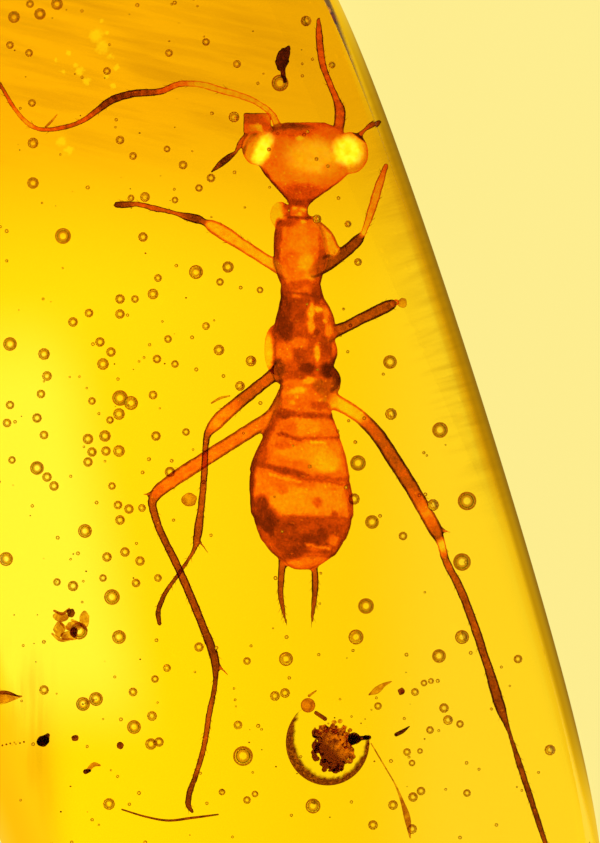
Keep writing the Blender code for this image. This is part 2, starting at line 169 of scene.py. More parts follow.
class Finish:
    """One material's (or the world's) node tree."""

    def __init__(self, owner):
        owner.use_nodes = True
        self.tree = owner.node_tree
        self.tree.nodes.clear()

    def node(self, kind, settings=None, values=None, output=0):
        made = self.tree.nodes.new(kind)
        for name, value in (settings or {}).items():
            if name == "stops":
                self.set_stops(made.color_ramp, value)
            else:
                setattr(made, name, value)
        for name, value in (values or {}).items():
            self.put(socket_named(made.inputs, name), value)
        return Wire(self, socket_named(made.outputs, output)) if made.outputs else made

    def put(self, socket, value):
        if isinstance(value, Wire):
            self.tree.links.new(value.socket, socket)
        elif socket.type == "RGBA":
            socket.default_value = (*value, 1.0)[:4]
        else:
            socket.default_value = value

    def set_stops(self, ramp, stops):
        while len(ramp.elements) < len(stops):
            ramp.elements.new(0.5)
        for element, (place, colour) in zip(ramp.elements, stops):
            element.position = place
            element.color = (*colour, 1.0)

    def mix(self, share, first, second, blend="MIX"):
        """A colour between two others."""
        settings = {"data_type": "RGBA", "blend_type": blend}
        values = {"Factor_Float": share, "A_Color": first, "B_Color": second}
        return self.node("ShaderNodeMix", settings, values, "Result_Color")

    def ramp(self, value, stops):
        return self.node("ShaderNodeValToRGB", {"stops": stops}, {"Fac": value})

    def fade(self, value, start, end, low=0.0, high=1.0):
        """A smooth step: low before start, high after end."""
        settings = {"interpolation_type": "SMOOTHSTEP"}
        values = {"Value": value, "From Min": start, "From Max": end, "To Min": low, "To Max": high}
        return self.node("ShaderNodeMapRange", settings, values)

    def noise(self, place, scale, detail=3.0, rough=0.55):
        values = {"Vector": place, "Scale": scale, "Detail": detail, "Roughness": rough}
        return self.node("ShaderNodeTexNoise", None, values)

    def vector(self, operation, first, second):
        return self.node("ShaderNodeVectorMath", {"operation": operation}, {0: first, 1: second})

    def absolute(self, value):
        return self.node("ShaderNodeMath", {"operation": "ABSOLUTE"}, {0: value})

    def stretched(self, place, scales):
        """A place scaled by its own amount along each axis, to draw noise out into streaks."""
        return self.vector("MULTIPLY", place, scales)

    def axes(self, place):
        """The x, y and z of a place, as three wires."""
        parts = self.node("ShaderNodeSeparateXYZ", None, {"Vector": place}).socket.node
        return [Wire(self, output) for output in parts.outputs]

    def place_in_mm(self):
        """The point being shaded, in the slab's own frame and in millimetres."""
        place = self.node("ShaderNodeTexCoord", None, None, "Object")
        return self.vector("MULTIPLY", place, (1 / MM,) * 3)

    def place_on_insect(self):
        """The same point in the insect's frame, which is also the picture's."""
        values = {"Vector": self.place_in_mm(), "Center": (INSECT_X, INSECT_Y, 0.0), "Angle": -INSECT_TURN}
        turned = self.node("ShaderNodeVectorRotate", {"rotation_type": "Z_AXIS"}, values)
        return self.vector("SUBTRACT", turned, (INSECT_X, INSECT_Y, INSECT_HEIGHT))

    def surface(self, shader, volume=None):
        values = {"Surface": shader} if volume is None else {"Surface": shader, "Volume": volume}
        kind = "ShaderNodeOutputWorld" if self.tree.id_data == world_tree_owner() else "ShaderNodeOutputMaterial"
        self.node(kind, None, values)


def world_tree_owner():
    world = bpy.context.scene.world
    return world.node_tree if world else None


def new_finish(name):
    material = bpy.data.materials.new(name)
    return material, Finish(material)


print("materials can be written as sums now")

# %% [markdown]
# ## The light table
#
# The stone is lit from below. A light table is a pale sheet that glows evenly, a little more
# strongly on the left here. It could be a big lamp under a diffuser, but a floor that glows by
# itself gives the same light with far less noise: every ray that comes out under the stone meets
# it straight away. The sheet is an eighth brighter under the stone, where light is also thrown
# back and forth between the two.

# %% Light table
TABLE_HALF = 400.0
TABLE_GAP = 0.004
TABLE_COLOUR = (0.98, 0.84, 0.27)


def mesh_object(name, vertices, faces, material, smooth=True):
    """A mesh object from points in millimetres."""
    mesh = bpy.data.meshes.new(name)
    mesh.from_pydata([tuple(float(v) * MM for v in point) for point in vertices], [], faces)
    mesh.validate()
    if smooth:
        mesh.shade_smooth()
    mesh.materials.append(material)
    made = bpy.data.objects.new(name, mesh)
    bpy.context.scene.collection.objects.link(made)
    return made


table_material, table = new_finish("light_table")
across, ahead, _ = table.axes(table.place_on_insect())
brighter_left = table.fade(across, 1.0, -2.6, 1.0, 1.22)
slab_x, slab_y, _ = table.axes(table.place_in_mm())
under = table.fade(table.absolute(slab_x), SLAB_WIDTH / 2 - 0.05, SLAB_WIDTH / 2 - 0.35)
under = under * table.fade(table.absolute(slab_y), SLAB_LENGTH / 2, SLAB_LENGTH / 2 - 0.5)
table_shader = table.node("ShaderNodeBsdfPrincipled", None, {
    "Base Color": (0.02, 0.018, 0.01),
    "Roughness": 0.9,
    "Specular IOR Level": 0.0,
    "Emission Color": table.mix(1.0, TABLE_COLOUR, brighter_left * (1 + under * 0.125), "MULTIPLY"),
    "Emission Strength": 1.0,
})
table.surface(table_shader)
h = TABLE_HALF
floor = mesh_object("light_table_sheet", [(-h, -h, -TABLE_GAP), (h, -h, -TABLE_GAP), (h, h, -TABLE_GAP),
                                          (-h, h, -TABLE_GAP)], [(0, 1, 2, 3)], table_material, smooth=False)
print("light table:", 2 * TABLE_HALF, "mm square")

# %% [markdown]
# ## Soft light from above
#
# The top face is a mirror for whatever is straight over it, so a lamp there would lay a milky
# glare over the insect. A microscope ring light stands around the lens instead. The world's
# background does this: dark right overhead, a soft warm ring further out, and dim down to the
# horizon, so that the edges of the bubbles go dark.

# %% Ring light
world = bpy.data.worlds.new("ring_light")
bpy.context.scene.world = world
sky = Finish(world)
direction = sky.node("ShaderNodeTexCoord", None, None, "Generated")
_, _, up = sky.axes(direction)
# The stops are heights on the dome: 0 is the horizon and 1 is right overhead.
ring = sky.ramp(up, [
    (0.00, (0.10, 0.08, 0.05)), (0.30, (0.24, 0.20, 0.14)), (0.52, (0.85, 0.76, 0.58)),
    (0.70, (1.00, 0.92, 0.74)), (0.94, (0.90, 0.82, 0.64)), (0.984, (0.02, 0.018, 0.014)),
])
sky.surface(sky.node("ShaderNodeBackground", None, {"Color": ring, "Strength": 0.9}))
bpy.context.scene.view_settings.view_transform = "Standard"
print("ring light ready")

# %% [markdown]
# ## The stone
#
# The slab is a squared-off oval with polished, rounded edges, and a long flat is ground off under
# its right-hand side. It could be carved from a cube with modifiers, but the outline is known by
# a formula, so it is simply laid in rings from the bottom face to the top, and the flat is cut
# with one plane. Air bubbles are hollows in the resin: small closed surfaces in the same mesh
# whose normals point into the air, just as the outer skin's do.

# %% The slab's outline
SIDE_BOW, END_BOW, CORNER_POWER = 0.22, 0.22, 6.0
EDGE_INSET, EDGE_DEPTH, LEFT_ROUNDING = 0.13, 0.04, 2.6
FACET_X, FACET_Y, FACET_SLANT, FACET_SLOPE = 2.83, -1.7, -0.11, math.tan(math.radians(35))
SLAB_POINTS, EDGE_STEPS, WALL_STEPS = 320, 9, 8


def slab_ring(height):
    """The slab's outline at one height, before the long flat is cut."""
    depth = min(height, SLAB_THICKNESS - height)
    inset = EDGE_INSET * math.exp(-depth / EDGE_DEPTH)
    ring = []
    for i in range(SLAB_POINTS):
        turn = 2 * math.pi * i / SLAB_POINTS
        c, s = math.cos(turn), math.sin(turn)
        reach = (abs(c) ** CORNER_POWER + abs(s) ** CORNER_POWER) ** (-1 / CORNER_POWER)
        across, along = c * reach, s * reach
        y = along * (SLAB_LENGTH / 2 - END_BOW * across * across - inset)
        half_width = SLAB_WIDTH / 2 - SIDE_BOW * along * along
        x = across * (half_width - inset * (LEFT_ROUNDING if across < 0 else 1.0))
        ring.append((x, y, height))
    return ring


def loft_faces(count, rings):
    """Quads between rings of points, and a flat face at each end."""
    faces = []
    for k in range(rings - 1):
        for i in range(count):
            j = (i + 1) % count
            faces.append((k * count + i, k * count + j, (k + 1) * count + j, (k + 1) * count + i))
    last = (rings - 1) * count
    return faces + [tuple(range(count - 1, -1, -1)), tuple(range(last, last + count))]


edge_heights = [0.28 * (k / EDGE_STEPS) ** 2 for k in range(EDGE_STEPS + 1)]
wall = SLAB_THICKNESS - 2 * edge_heights[-1]
heights = edge_heights + [edge_heights[-1] + wall * k / WALL_STEPS for k in range(1, WALL_STEPS)]
heights += [SLAB_THICKNESS - height for height in reversed(edge_heights)]
stone_bm = bmesh.new()
# For every point: is it on the outer skin, a small bubble, the large one's wall, or the painted shade on that wall?
skin_layer = stone_bm.verts.layers.float.new("skin")
bubble_layer = stone_bm.verts.layers.float.new("bubble")
wall_layer = stone_bm.verts.layers.float.new("wall")
crescent_layer = stone_bm.verts.layers.float.new("crescent")
stone_points = [stone_bm.verts.new(point) for height in heights for point in slab_ring(height)]
for face in loft_faces(SLAB_POINTS, len(heights)):
    stone_bm.faces.new([stone_points[i] for i in face])

# The long flat: a plane that climbs outwards from a line on the bottom face.
facet_normal = Vector((1.0, -FACET_SLANT, -1 / FACET_SLOPE)).normalized()
cut = bmesh.ops.bisect_plane(stone_bm, geom=[*stone_bm.verts, *stone_bm.edges, *stone_bm.faces],
                             plane_co=(FACET_X, FACET_Y, 0.0), plane_no=facet_normal, clear_outer=True)
rim = [edge for edge in cut["geom_cut"] if isinstance(edge, bmesh.types.BMEdge)]
bmesh.ops.holes_fill(stone_bm, edges=rim)
for edge in stone_bm.edges:
    edge.smooth = edge.calc_face_angle(0.0) < math.radians(18)
for vert in stone_bm.verts:
    vert[skin_layer] = 1.0
print("slab:", len(stone_bm.verts), "points,", len(stone_bm.faces), "faces")

# %% [markdown]
# ## Bubbles
#
# Each bubble is listed by where it shows in the picture and how wide it looks. Its depth can't be
# seen, so a seeded draw picks one, away from both faces and, over or under the insect, clear of
# its body. A point deeper in the amber shows nearer to the middle, and `seen_at` allows for that.

# %% Bubbles
BUBBLES = [
    (391, 414, 6), (440, 430, 8), (358, 463, 8), (467, 501, 9.5), (487, 510, 6), (433, 505, 6), (372, 522, 7),
    (496, 543, 5), (403, 536, 4.5), (462, 562, 9), (366, 606, 8), (356, 637, 7.5), (462, 637, 7), (439, 656, 7),
    (518, 659, 4.5), (444, 708, 5), (448, 720, 5), (460, 724, 4), (430, 730, 4), (415, 692, 4), (424, 683, 3.5),
    (431, 681, 3), (378, 706, 4), (550, 750, 5.5), (407, 752, 4), (420, 751, 3), (412, 763, 3.5), (467, 793, 4),
    (393, 805, 5), (413, 797, 5), (421, 791, 4.5), (313, 806, 7.5), (373, 825, 5), (412, 829, 5), (390, 362, 7),
    (251, 361, 5.5), (219, 350, 5.5), (206, 326, 4), (260, 290, 3.5), (220, 282, 4), (240, 386, 5), (196, 272, 7),
    (228, 267, 6), (143, 237, 5), (63, 236, 8), (10, 344, 7), (73, 322, 5), (120, 299, 5), (135, 299, 4),
    (153, 294, 5.5), (120, 314, 5), (89, 313, 4.5), (158, 278, 4), (100, 342, 5), (111, 352, 5), (103, 364, 6),
    (44, 354, 6), (157, 359, 4.5), (175, 364, 4), (168, 339, 4), (47, 376, 5), (120, 398, 8), (131, 403, 7),
    (119, 414, 6), (110, 420, 4), (41, 394, 4.5), (10, 405, 4.5), (37, 418, 5), (7, 423, 4.5), (153, 395, 4.5),
    (92, 401, 4), (44, 435, 4.5), (88, 439, 5.5), (105, 436, 6), (156, 436, 5), (186, 432, 4), (92, 452, 5),
    (119, 451, 6), (106, 451, 5), (37, 468, 7), (47, 477, 5), (54, 486, 5), (12, 460, 4), (88, 462, 5),
    (112, 486, 4), (118, 505, 4.5), (129, 509, 5), (142, 508, 4), (120, 520, 5), (85, 531, 7), (170, 472, 5.5),
    (6, 559, 7), (107, 557, 5), (125, 552, 5), (140, 561, 5), (103, 578, 4), (136, 583, 4.5), (73, 586, 5.5),
    (57, 582, 4), (112, 597, 8), (158, 578, 4), (119, 637, 7), (199, 647, 5), (167, 668, 4), (155, 679, 4),
    (133, 692, 4.5), (152, 716, 5), (134, 727, 7), (151, 744, 6), (159, 742, 5), (286, 659, 7), (275, 696, 5),
    (285, 693, 5), (247, 661, 4), (238, 725, 4.5), (243, 756, 10), (222, 792, 3.5), (247, 800, 4), (255, 794, 3.5),
    (44, 690, 5), (14, 17, 6), (40, 14, 6), (30, 4, 4), (57, 4, 6), (10, 45, 4), (29, 53, 4), (169, 53, 4),
    (206, 42, 4), (237, 64, 4), (107, 71, 4), (32, 103, 4), (33, 143, 5.5), (120, 140, 4.5), (133, 156, 4),
    (167, 149, 3.5), (183, 165, 4.5), (211, 178, 4.5), (234, 117, 5.5), (33, 183, 6), (199, 188, 4),
    (131, 198, 3.5), (145, 197, 5), (175, 200, 3.5), (306, 21, 5.5), (341, 23, 4), (332, 65, 3.5), (348, 224, 3.5),
    (397, 192, 4.5), (317, 219, 4.5), (358, 262, 4), (426, 246, 4), (430, 256, 3), (354, 499, 6), (109, 804, 6),
    (280, 83, 8.6), (79, 631, 8.7), (83, 704, 7), (96, 699, 7),
]
SPECK_COUNT = 280
draw = random.Random(11)


def near_insect(px, py):
    """True where the insect's body or a leg may lie right over or under this point."""
    return 190 < px < 470 and 60 < py < 640 or 140 < px < 240 and 380 < py < 830 or px > 430 and py > 560


def bubble_height(px, py):
    if near_insect(px, py):
        return draw.choice((draw.uniform(0.35, 0.75), draw.uniform(2.45, 2.95)))
    return draw.uniform(0.35, 2.95)


def inside_frame(px, py):
    """Left of the slab's right-hand edge, with room to spare."""
    place = seen_at(px, py, INSECT_HEIGHT)
    return place.x < SLAB_WIDTH / 2 - SIDE_BOW * (2 * place.y / SLAB_LENGTH) ** 2 - 0.45


def add_bubble(bm, middle, half_sizes, detail):
    """A closed hollow: a ball of triangles turned inside out."""
    made = bmesh.ops.create_icosphere(bm, subdivisions=detail, radius=1.0)["verts"]
    matrix = Matrix.Translation(middle) @ Matrix.Diagonal((*half_sizes, 1.0))
    bmesh.ops.transform(bm, matrix=matrix, verts=made)
    bmesh.ops.reverse_faces(bm, faces=list({face for vert in made for face in vert.link_faces}))
    for vert in made:
        vert[bubble_layer] = 1.0


listed = len(BUBBLES)
bubbles = [(px, py, radius, bubble_height(px, py)) for px, py, radius in BUBBLES]
while len(bubbles) < listed + SPECK_COUNT:
    px, py = draw.uniform(-60, 590), draw.uniform(-180, 1010)
    if inside_frame(px, py):
        bubbles.append((px, py, draw.uniform(1.0, 2.2), bubble_height(px, py)))
for px, py, radius, height in bubbles:
    size = radius / POINTS_PER_MM
    place = seen_at(px, py, height)
    if abs(place.x) < SLAB_WIDTH / 2 - 0.3 and abs(place.y) < SLAB_LENGTH / 2 - 0.3:
        add_bubble(stone_bm, place, (size, size, size), 3 if radius > 6.5 else 2)
print(listed, "bubbles and", SPECK_COUNT, "specks;", len(stone_bm.faces), "faces so far")

# %% [markdown]
# The largest bubble is flat like a lens and holds the clot of dirt, so it is its own form. It is
# flatter here than the CAD model's hollow, whose taller wall would show side on. Resin has seeped
# into it, so its wall hardly bends the light. Its dark rim is painted shade on the wall, in a
# crescent: thick on the left and below, gone at the top right. Each point gets its share of it.

# %% The large bubble
BIG_BUBBLE_MIDDLE = (0.276, -3.21, 0.0)
BIG_BUBBLE_HALF = (0.418, 0.43, 0.24)
CLEAR_MIDDLE, CLEAR_HALF = (0.302, -3.128), (0.352, 0.425)
big_lie = lie @ Matrix.Translation(BIG_BUBBLE_MIDDLE)
made = bmesh.ops.create_icosphere(stone_bm, subdivisions=5, radius=1.0)["verts"]
for vert in made:
    x = BIG_BUBBLE_MIDDLE[0] + BIG_BUBBLE_HALF[0] * vert.co.x
    y = BIG_BUBBLE_MIDDLE[1] + BIG_BUBBLE_HALF[1] * vert.co.y
    reach = math.hypot((x - CLEAR_MIDDLE[0]) / CLEAR_HALF[0], (y - CLEAR_MIDDLE[1]) / CLEAR_HALF[1])
    ragged = 0.06 * noise.noise(Vector((x, y, 0)) * 26)
    turn = math.degrees(math.atan2(vert.co.y, vert.co.x)) % 360
    closed = min(max((turn - 108) / 12, 0), 1) if turn > 60 else min(max((12 - turn) / 10, 0), 1)
    vert[wall_layer] = 1.0
    vert[crescent_layer] = min(max((reach - 1.0 + ragged) / 0.06, 0), 1) * closed
bmesh.ops.transform(stone_bm, matrix=big_lie @ Matrix.Diagonal((*BIG_BUBBLE_HALF, 1.0)), verts=made)
bmesh.ops.reverse_faces(stone_bm, faces=list({face for vert in made for face in vert.link_faces}))
print("stone:", sum(len(face.verts) - 2 for face in stone_bm.faces), "triangles")

# %% [markdown]
# ## Amber
#
# Three things make amber look right. It is clear, so light passes through and bends (transmission
# and the refractive index). It swallows blue light, more the longer the way through it (volume
# absorption). And old amber is never even: it is browner towards one end and has drawn-out flow
# lines. That last part is a thin tint of its skin, which also holds painted light: a pale pool where
# the light is strong, glints, and shade along the rounded edges and the long flat.

# %% Amber
amber_material, amber = new_finish("amber")
slab_place, picture_place = amber.place_in_mm(), amber.place_on_insect()
across, ahead, _ = amber.axes(picture_place)
slab_x, slab_y, slab_z = amber.axes(slab_place)
_, _, normal_z = amber.axes(amber.node("ShaderNodeTexCoord", None, None, "Normal"))
skin = amber.node("ShaderNodeAttribute", {"attribute_name": "skin"}, None, "Fac")
bubble = amber.node("ShaderNodeAttribute", {"attribute_name": "bubble"}, None, "Fac")
wall = amber.node("ShaderNodeAttribute", {"attribute_name": "wall"}, None, "Fac")
crescent = amber.node("ShaderNodeAttribute", {"attribute_name": "crescent"}, None, "Fac")

MIDDLE, RIGHT, TOP = (1.0, 0.79, 0.08), (1.0, 0.84, 0.45), (0.82, 0.47, 0.02)
PAINTED_LIGHT, LOW_LEFT, LOW_MIDDLE = (1.0, 1.0, 1.0), (0.77, 0.51, 0.06), (1.0, 0.80, 0.03)
FLOW, EDGE_SHADE_AND_STREAKS, FACET_SHADE = (0.60, 0.32, 0.02), (0.47, 0.26, 0.03), (0.78, 0.45, 0.05)
tint = amber.mix(amber.fade(across, 0.4, 1.6), MIDDLE, RIGHT)
tint = amber.mix(amber.fade(ahead, -1.4, -2.6) * amber.fade(across, 1.4, -0.2), tint, LOW_MIDDLE)
tint = amber.mix(amber.fade(ahead, -2.4, -3.8) * amber.fade(across, -2.2, -2.8), tint, LOW_LEFT)
tint = amber.mix(amber.fade(ahead, 1.0, 3.4), tint, TOP)
# Painted light: a pale pool at the left, where the table's light shows through the stone most strongly.
painted_light_pool = amber.fade(across + ahead * 0.2, -1.8, -2.6) * amber.fade(ahead, 1.4, 0.2) * amber.fade(ahead, -3.4, -2.3)
tint = amber.mix(painted_light_pool, tint, PAINTED_LIGHT)

# Flow lines: noise that is drawn out along a slant, only ahead of the insect.
slant_values = {"Vector": picture_place, "Angle": math.radians(13)}
slanted = amber.node("ShaderNodeVectorRotate", {"rotation_type": "Z_AXIS"}, slant_values)
flow = amber.fade(amber.noise(amber.stretched(slanted, (0.6, 6.0, 0.0)), 1.0, 3.0), 0.46, 0.66)
flowing = amber.fade(ahead, 2.3, 3.3) * amber.fade(across, 0.5, -0.8)
tint = amber.mix(flow * flowing * 0.7, tint, FLOW)
# Painted glints at the top left, where tiny cracks under the top face catch the light: where each shows in the picture,
# and its half size.
PAINTED_GLINTS = [(99, 41, 9), (104, 26, 3), (113, 62, 4), (83, 76, 5), (110, 80, 4), (59, 66, 3), (72, 59, 3), (65, 146, 6)]
flat_place = amber.stretched(picture_place, (1.0, 1.0, 0.0))
ragged_rim = (amber.noise(picture_place, 24.0, 2.0) - 0.5) * 0.09
on_top = amber.fade(normal_z, 0.5, 0.9)
for px, py, half in PAINTED_GLINTS:
    spot = {0: flat_place, 1: on_insect(px, py)}
    away = amber.node("ShaderNodeVectorMath", {"operation": "DISTANCE"}, spot, "Value") + ragged_rim
    lit = amber.fade(away, half / POINTS_PER_MM, half / POINTS_PER_MM * 0.3)
    tint = amber.mix(lit * on_top * 0.8, tint, (1.0, 0.95, 0.25))
# Soft upright streaks at the low left.
low_streaks = amber.fade(amber.noise(amber.stretched(picture_place, (7.0, 0.7, 0.0)), 1.0, 2.0), 0.42, 0.62)
tint = amber.mix(low_streaks * amber.fade(across, -2.4, -2.7) * amber.fade(ahead, -2.0, -3.0) * 0.5, tint, FLOW)

# The right-hand margin: browner, as painted shade of the rounded edge, with short streaks that point inwards, the marks
# of grinding.
to_edge = SLAB_WIDTH / 2 - SIDE_BOW * (slab_y / (SLAB_LENGTH / 2)) ** 2 - slab_x
upper = amber.fade(ahead, -1.3, -0.2) * amber.fade(ahead, 3.7, 2.4)
streaks = amber.fade(amber.noise(amber.stretched(slab_place, (1.7, 13.0, 0.0)), 1.0, 3.0), 0.36, 0.72)
margin_shade = amber.fade(to_edge, 0.22, 0.05) * (upper * 0.48 + 0.1)
streaked = amber.fade(to_edge, 0.60, 0.15) * streaks * upper
tint = amber.mix(margin_shade + (1 - margin_shade) * streaked * 0.34, tint, EDGE_SHADE_AND_STREAKS)
# The long flat under the right side is painted darker: painted shade.
on_facet = amber.fade(normal_z, -0.97, -0.90) * amber.fade(normal_z, -0.3, -0.5)
tint = amber.mix(on_facet, tint, FACET_SHADE)


def clear_shader(colour, index):
    """Polished and see-through. Only the colour and how far light is bent differ."""
    return amber.node("ShaderNodeBsdfPrincipled", None, {
        "Base Color": colour,
        "Roughness": 0.0,
        "IOR": index,
        "Transmission Weight": 1.0,
    })


# A thin brown layer on the stone's rounded edges is painted shade, with the grinding streaks in it,
# and the dark rims of the bubbles are painted shade too. Light goes straight through such a layer
# and is only coloured.
STRAIGHT_THROUGH_IOR = 1.0
to_left = SLAB_WIDTH / 2 - SIDE_BOW * (slab_y / (SLAB_LENGTH / 2)) ** 2 + slab_x
on_edge = amber.fade(to_edge, 0.17, 0.12) + amber.fade(to_left, 0.55, 0.40)
edge_shade_and_streaks = amber.mix(upper, (0.88, 0.64, 0.16), (0.72, 0.44, 0.06))
edge_shade_and_streaks = amber.mix(streaks * upper * 0.5, edge_shade_and_streaks, (0.45, 0.26, 0.05))
edge_shade_and_streaks = amber.mix(amber.fade(to_edge, 0.075, 0.01), edge_shade_and_streaks, (0.30, 0.18, 0.04))
edge_shade_and_streaks = amber.mix(amber.fade(slab_x, 0.0, -1.0), edge_shade_and_streaks, (0.84, 0.58, 0.10))
skin_shaders = {0: on_edge, 1: clear_shader(tint, AMBER_IOR), 2: clear_shader(edge_shade_and_streaks, STRAIGHT_THROUGH_IOR)}
skin_shader = amber.node("ShaderNodeMixShader", None, skin_shaders)

# The hollows have their own branch. It is short, because light crosses hundreds of bubbles, and
# none of them needs the skin's tints. The dark rims of the small bubbles and the crescent on the
# large one are painted shade, and the crescent's paler beads are painted highlights.
rim = amber.fade(amber.absolute(normal_z), 0.78, 0.50)
beads = amber.fade(amber.noise(picture_place, 34.0, 2.0), 0.44, 0.64)
painted_rim_shade = amber.mix(beads, (0.13, 0.034, 0.006), (0.42, 0.15, 0.02))
wall_colour = amber.mix(crescent, (1.0, 1.0, 1.0), painted_rim_shade)
rim_shade_colour = amber.mix(wall, (0.38, 0.13, 0.02), wall_colour)
hollow_shaders = {
    0: bubble * rim * 0.92 + wall,
    1: clear_shader((1.0, 1.0, 1.0), AMBER_IOR),
    2: clear_shader(rim_shade_colour, STRAIGHT_THROUGH_IOR),
}
hollow_shader = amber.node("ShaderNodeMixShader", None, hollow_shaders)
stone_shader = amber.node("ShaderNodeMixShader", None, {0: skin, 1: hollow_shader, 2: skin_shader})
amber_volume = amber.node("ShaderNodeVolumeAbsorption", None, {"Color": (1.0, 0.95, 0.0), "Density": 700.0})
amber.surface(stone_shader, amber_volume)

stone_mesh = bpy.data.meshes.new("amber_stone")
bmesh.ops.transform(stone_bm, matrix=Matrix.Scale(MM, 4), verts=stone_bm.verts)
stone_bm.to_mesh(stone_mesh)
stone_bm.free()
stone_mesh.materials.append(amber_material)
stone = bpy.data.objects.new("amber_stone", stone_mesh)
bpy.context.scene.collection.objects.link(stone)
# The large ground faces stay flat: smooth shading would bend the picture behind them like a lens.
for polygon in stone_mesh.polygons:
    polygon.use_smooth = len(polygon.vertices) <= 4
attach(stone, "root")
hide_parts("amber_lower", "amber_upper")
print("the amber stone stands for both CAD halves")

# %% [markdown]
# ## The insect's forms
#
# The body is a row of rounded forms, and each limb is a tube whose thickness changes along its
# length. The tables start from the CAD model's numbers. The CAD model joins its sections with
# straight faces; here a smooth line runs through them, so the shape is the same but round. A few
# numbers are finer than the CAD model's: the right palp's tip, the lower part of the right middle
# leg, the rims of the abdomen's rings, and the tips of the spurs and cerci.

# %% Tables of the body and the limbs
BODY = {
    "head": [
        (2.16, 0.00, 0.09, 0.10), (2.21, 0.005, 0.135, 0.14), (2.31, 0.03, 0.25, 0.19),
        (2.41, 0.055, 0.36, 0.225), (2.52, 0.06, 0.45, 0.24), (2.64, 0.055, 0.48, 0.245),
        (2.76, 0.05, 0.47, 0.235), (2.87, 0.045, 0.41, 0.20), (2.95, 0.04, 0.31, 0.13), (2.99, 0.05, 0.20, 0.06),
    ],
    "neck": [(2.24, 0.0, 0.10, 0.10), (2.12, -0.02, 0.10, 0.095), (2.00, -0.03, 0.12, 0.11)],
    "prothorax": [
        (2.06, -0.035, 0.13, 0.13), (1.97, -0.025, 0.21, 0.20), (1.85, -0.005, 0.255, 0.25),
        (1.72, 0.0, 0.265, 0.27), (1.60, 0.0, 0.262, 0.27), (1.50, 0.0, 0.24, 0.25), (1.38, 0.005, 0.20, 0.21),
    ],
    "mesothorax": [
        (1.43, 0.005, 0.17, 0.18), (1.34, 0.01, 0.205, 0.22), (1.25, 0.02, 0.215, 0.24),
        (1.12, 0.045, 0.265, 0.28), (0.985, 0.05, 0.302, 0.30), (0.84, 0.045, 0.315, 0.30), (0.79, 0.045, 0.28, 0.27),
    ],
    "metathorax": [
        (0.86, 0.047, 0.27, 0.26), (0.78, 0.05, 0.31, 0.29), (0.69, 0.053, 0.323, 0.30),
        (0.56, 0.038, 0.30, 0.28), (0.44, 0.04, 0.25, 0.25),
    ],
}
ABDOMEN = [
    (0.50, 0.04, 0.235, 0.24), (0.34, 0.043, 0.245, 0.25), (0.20, 0.030, 0.25, 0.26), (0.05, 0.025, 0.31, 0.30),
    (-0.13, 0.014, 0.378, 0.33), (-0.33, 0.002, 0.456, 0.36), (-0.51, -0.004, 0.496, 0.38),
    (-0.66, 0.006, 0.518, 0.39), (-0.91, 0.023, 0.51, 0.38), (-1.045, 0.031, 0.476, 0.36),
    (-1.18, 0.039, 0.419, 0.33), (-1.31, 0.047, 0.328, 0.27), (-1.42, 0.041, 0.20, 0.18), (-1.49, 0.03, 0.09, 0.09),
]
RING_EDGES = [0.50, 0.20, 0.06, -0.16, -0.54, -0.96, -1.20, -1.36, -1.49]
RING_OVERLAP = 0.05
RING_SHARES = ((-RING_OVERLAP, 0.945), (0.0, 0.98), (0.25, 0.995), (0.5, 1.0), (0.8, 1.008), (0.95, 1.01), (1.0, 0.985))
EYES = {
    "left_eye": ((-0.43, 2.735, 0.0), (0.15, 0.175, 0.17)),
    "right_eye": ((0.50, 2.685, 0.0), (0.185, 0.21, 0.18)),
}
LUMPS = {
    "left_hind_hip": ((-0.17, 0.50, -0.10), (0.11, 0.13, 0.13)),
    "right_hind_hip": ((0.31, 0.40, -0.06), (0.10, 0.15, 0.14)),
    "neck_lobe": ((-0.195, 2.065, -0.05), (0.105, 0.14, 0.06)),
    "wing_pad": ((-0.26, 0.72, 0.03), (0.10, 0.25, 0.05)),
}
MOUTH_PLATE_MIDDLE = (-0.43, 2.985, -0.02)
MOUTH_PLATE_SIZE = (0.27, 0.20, 0.09)

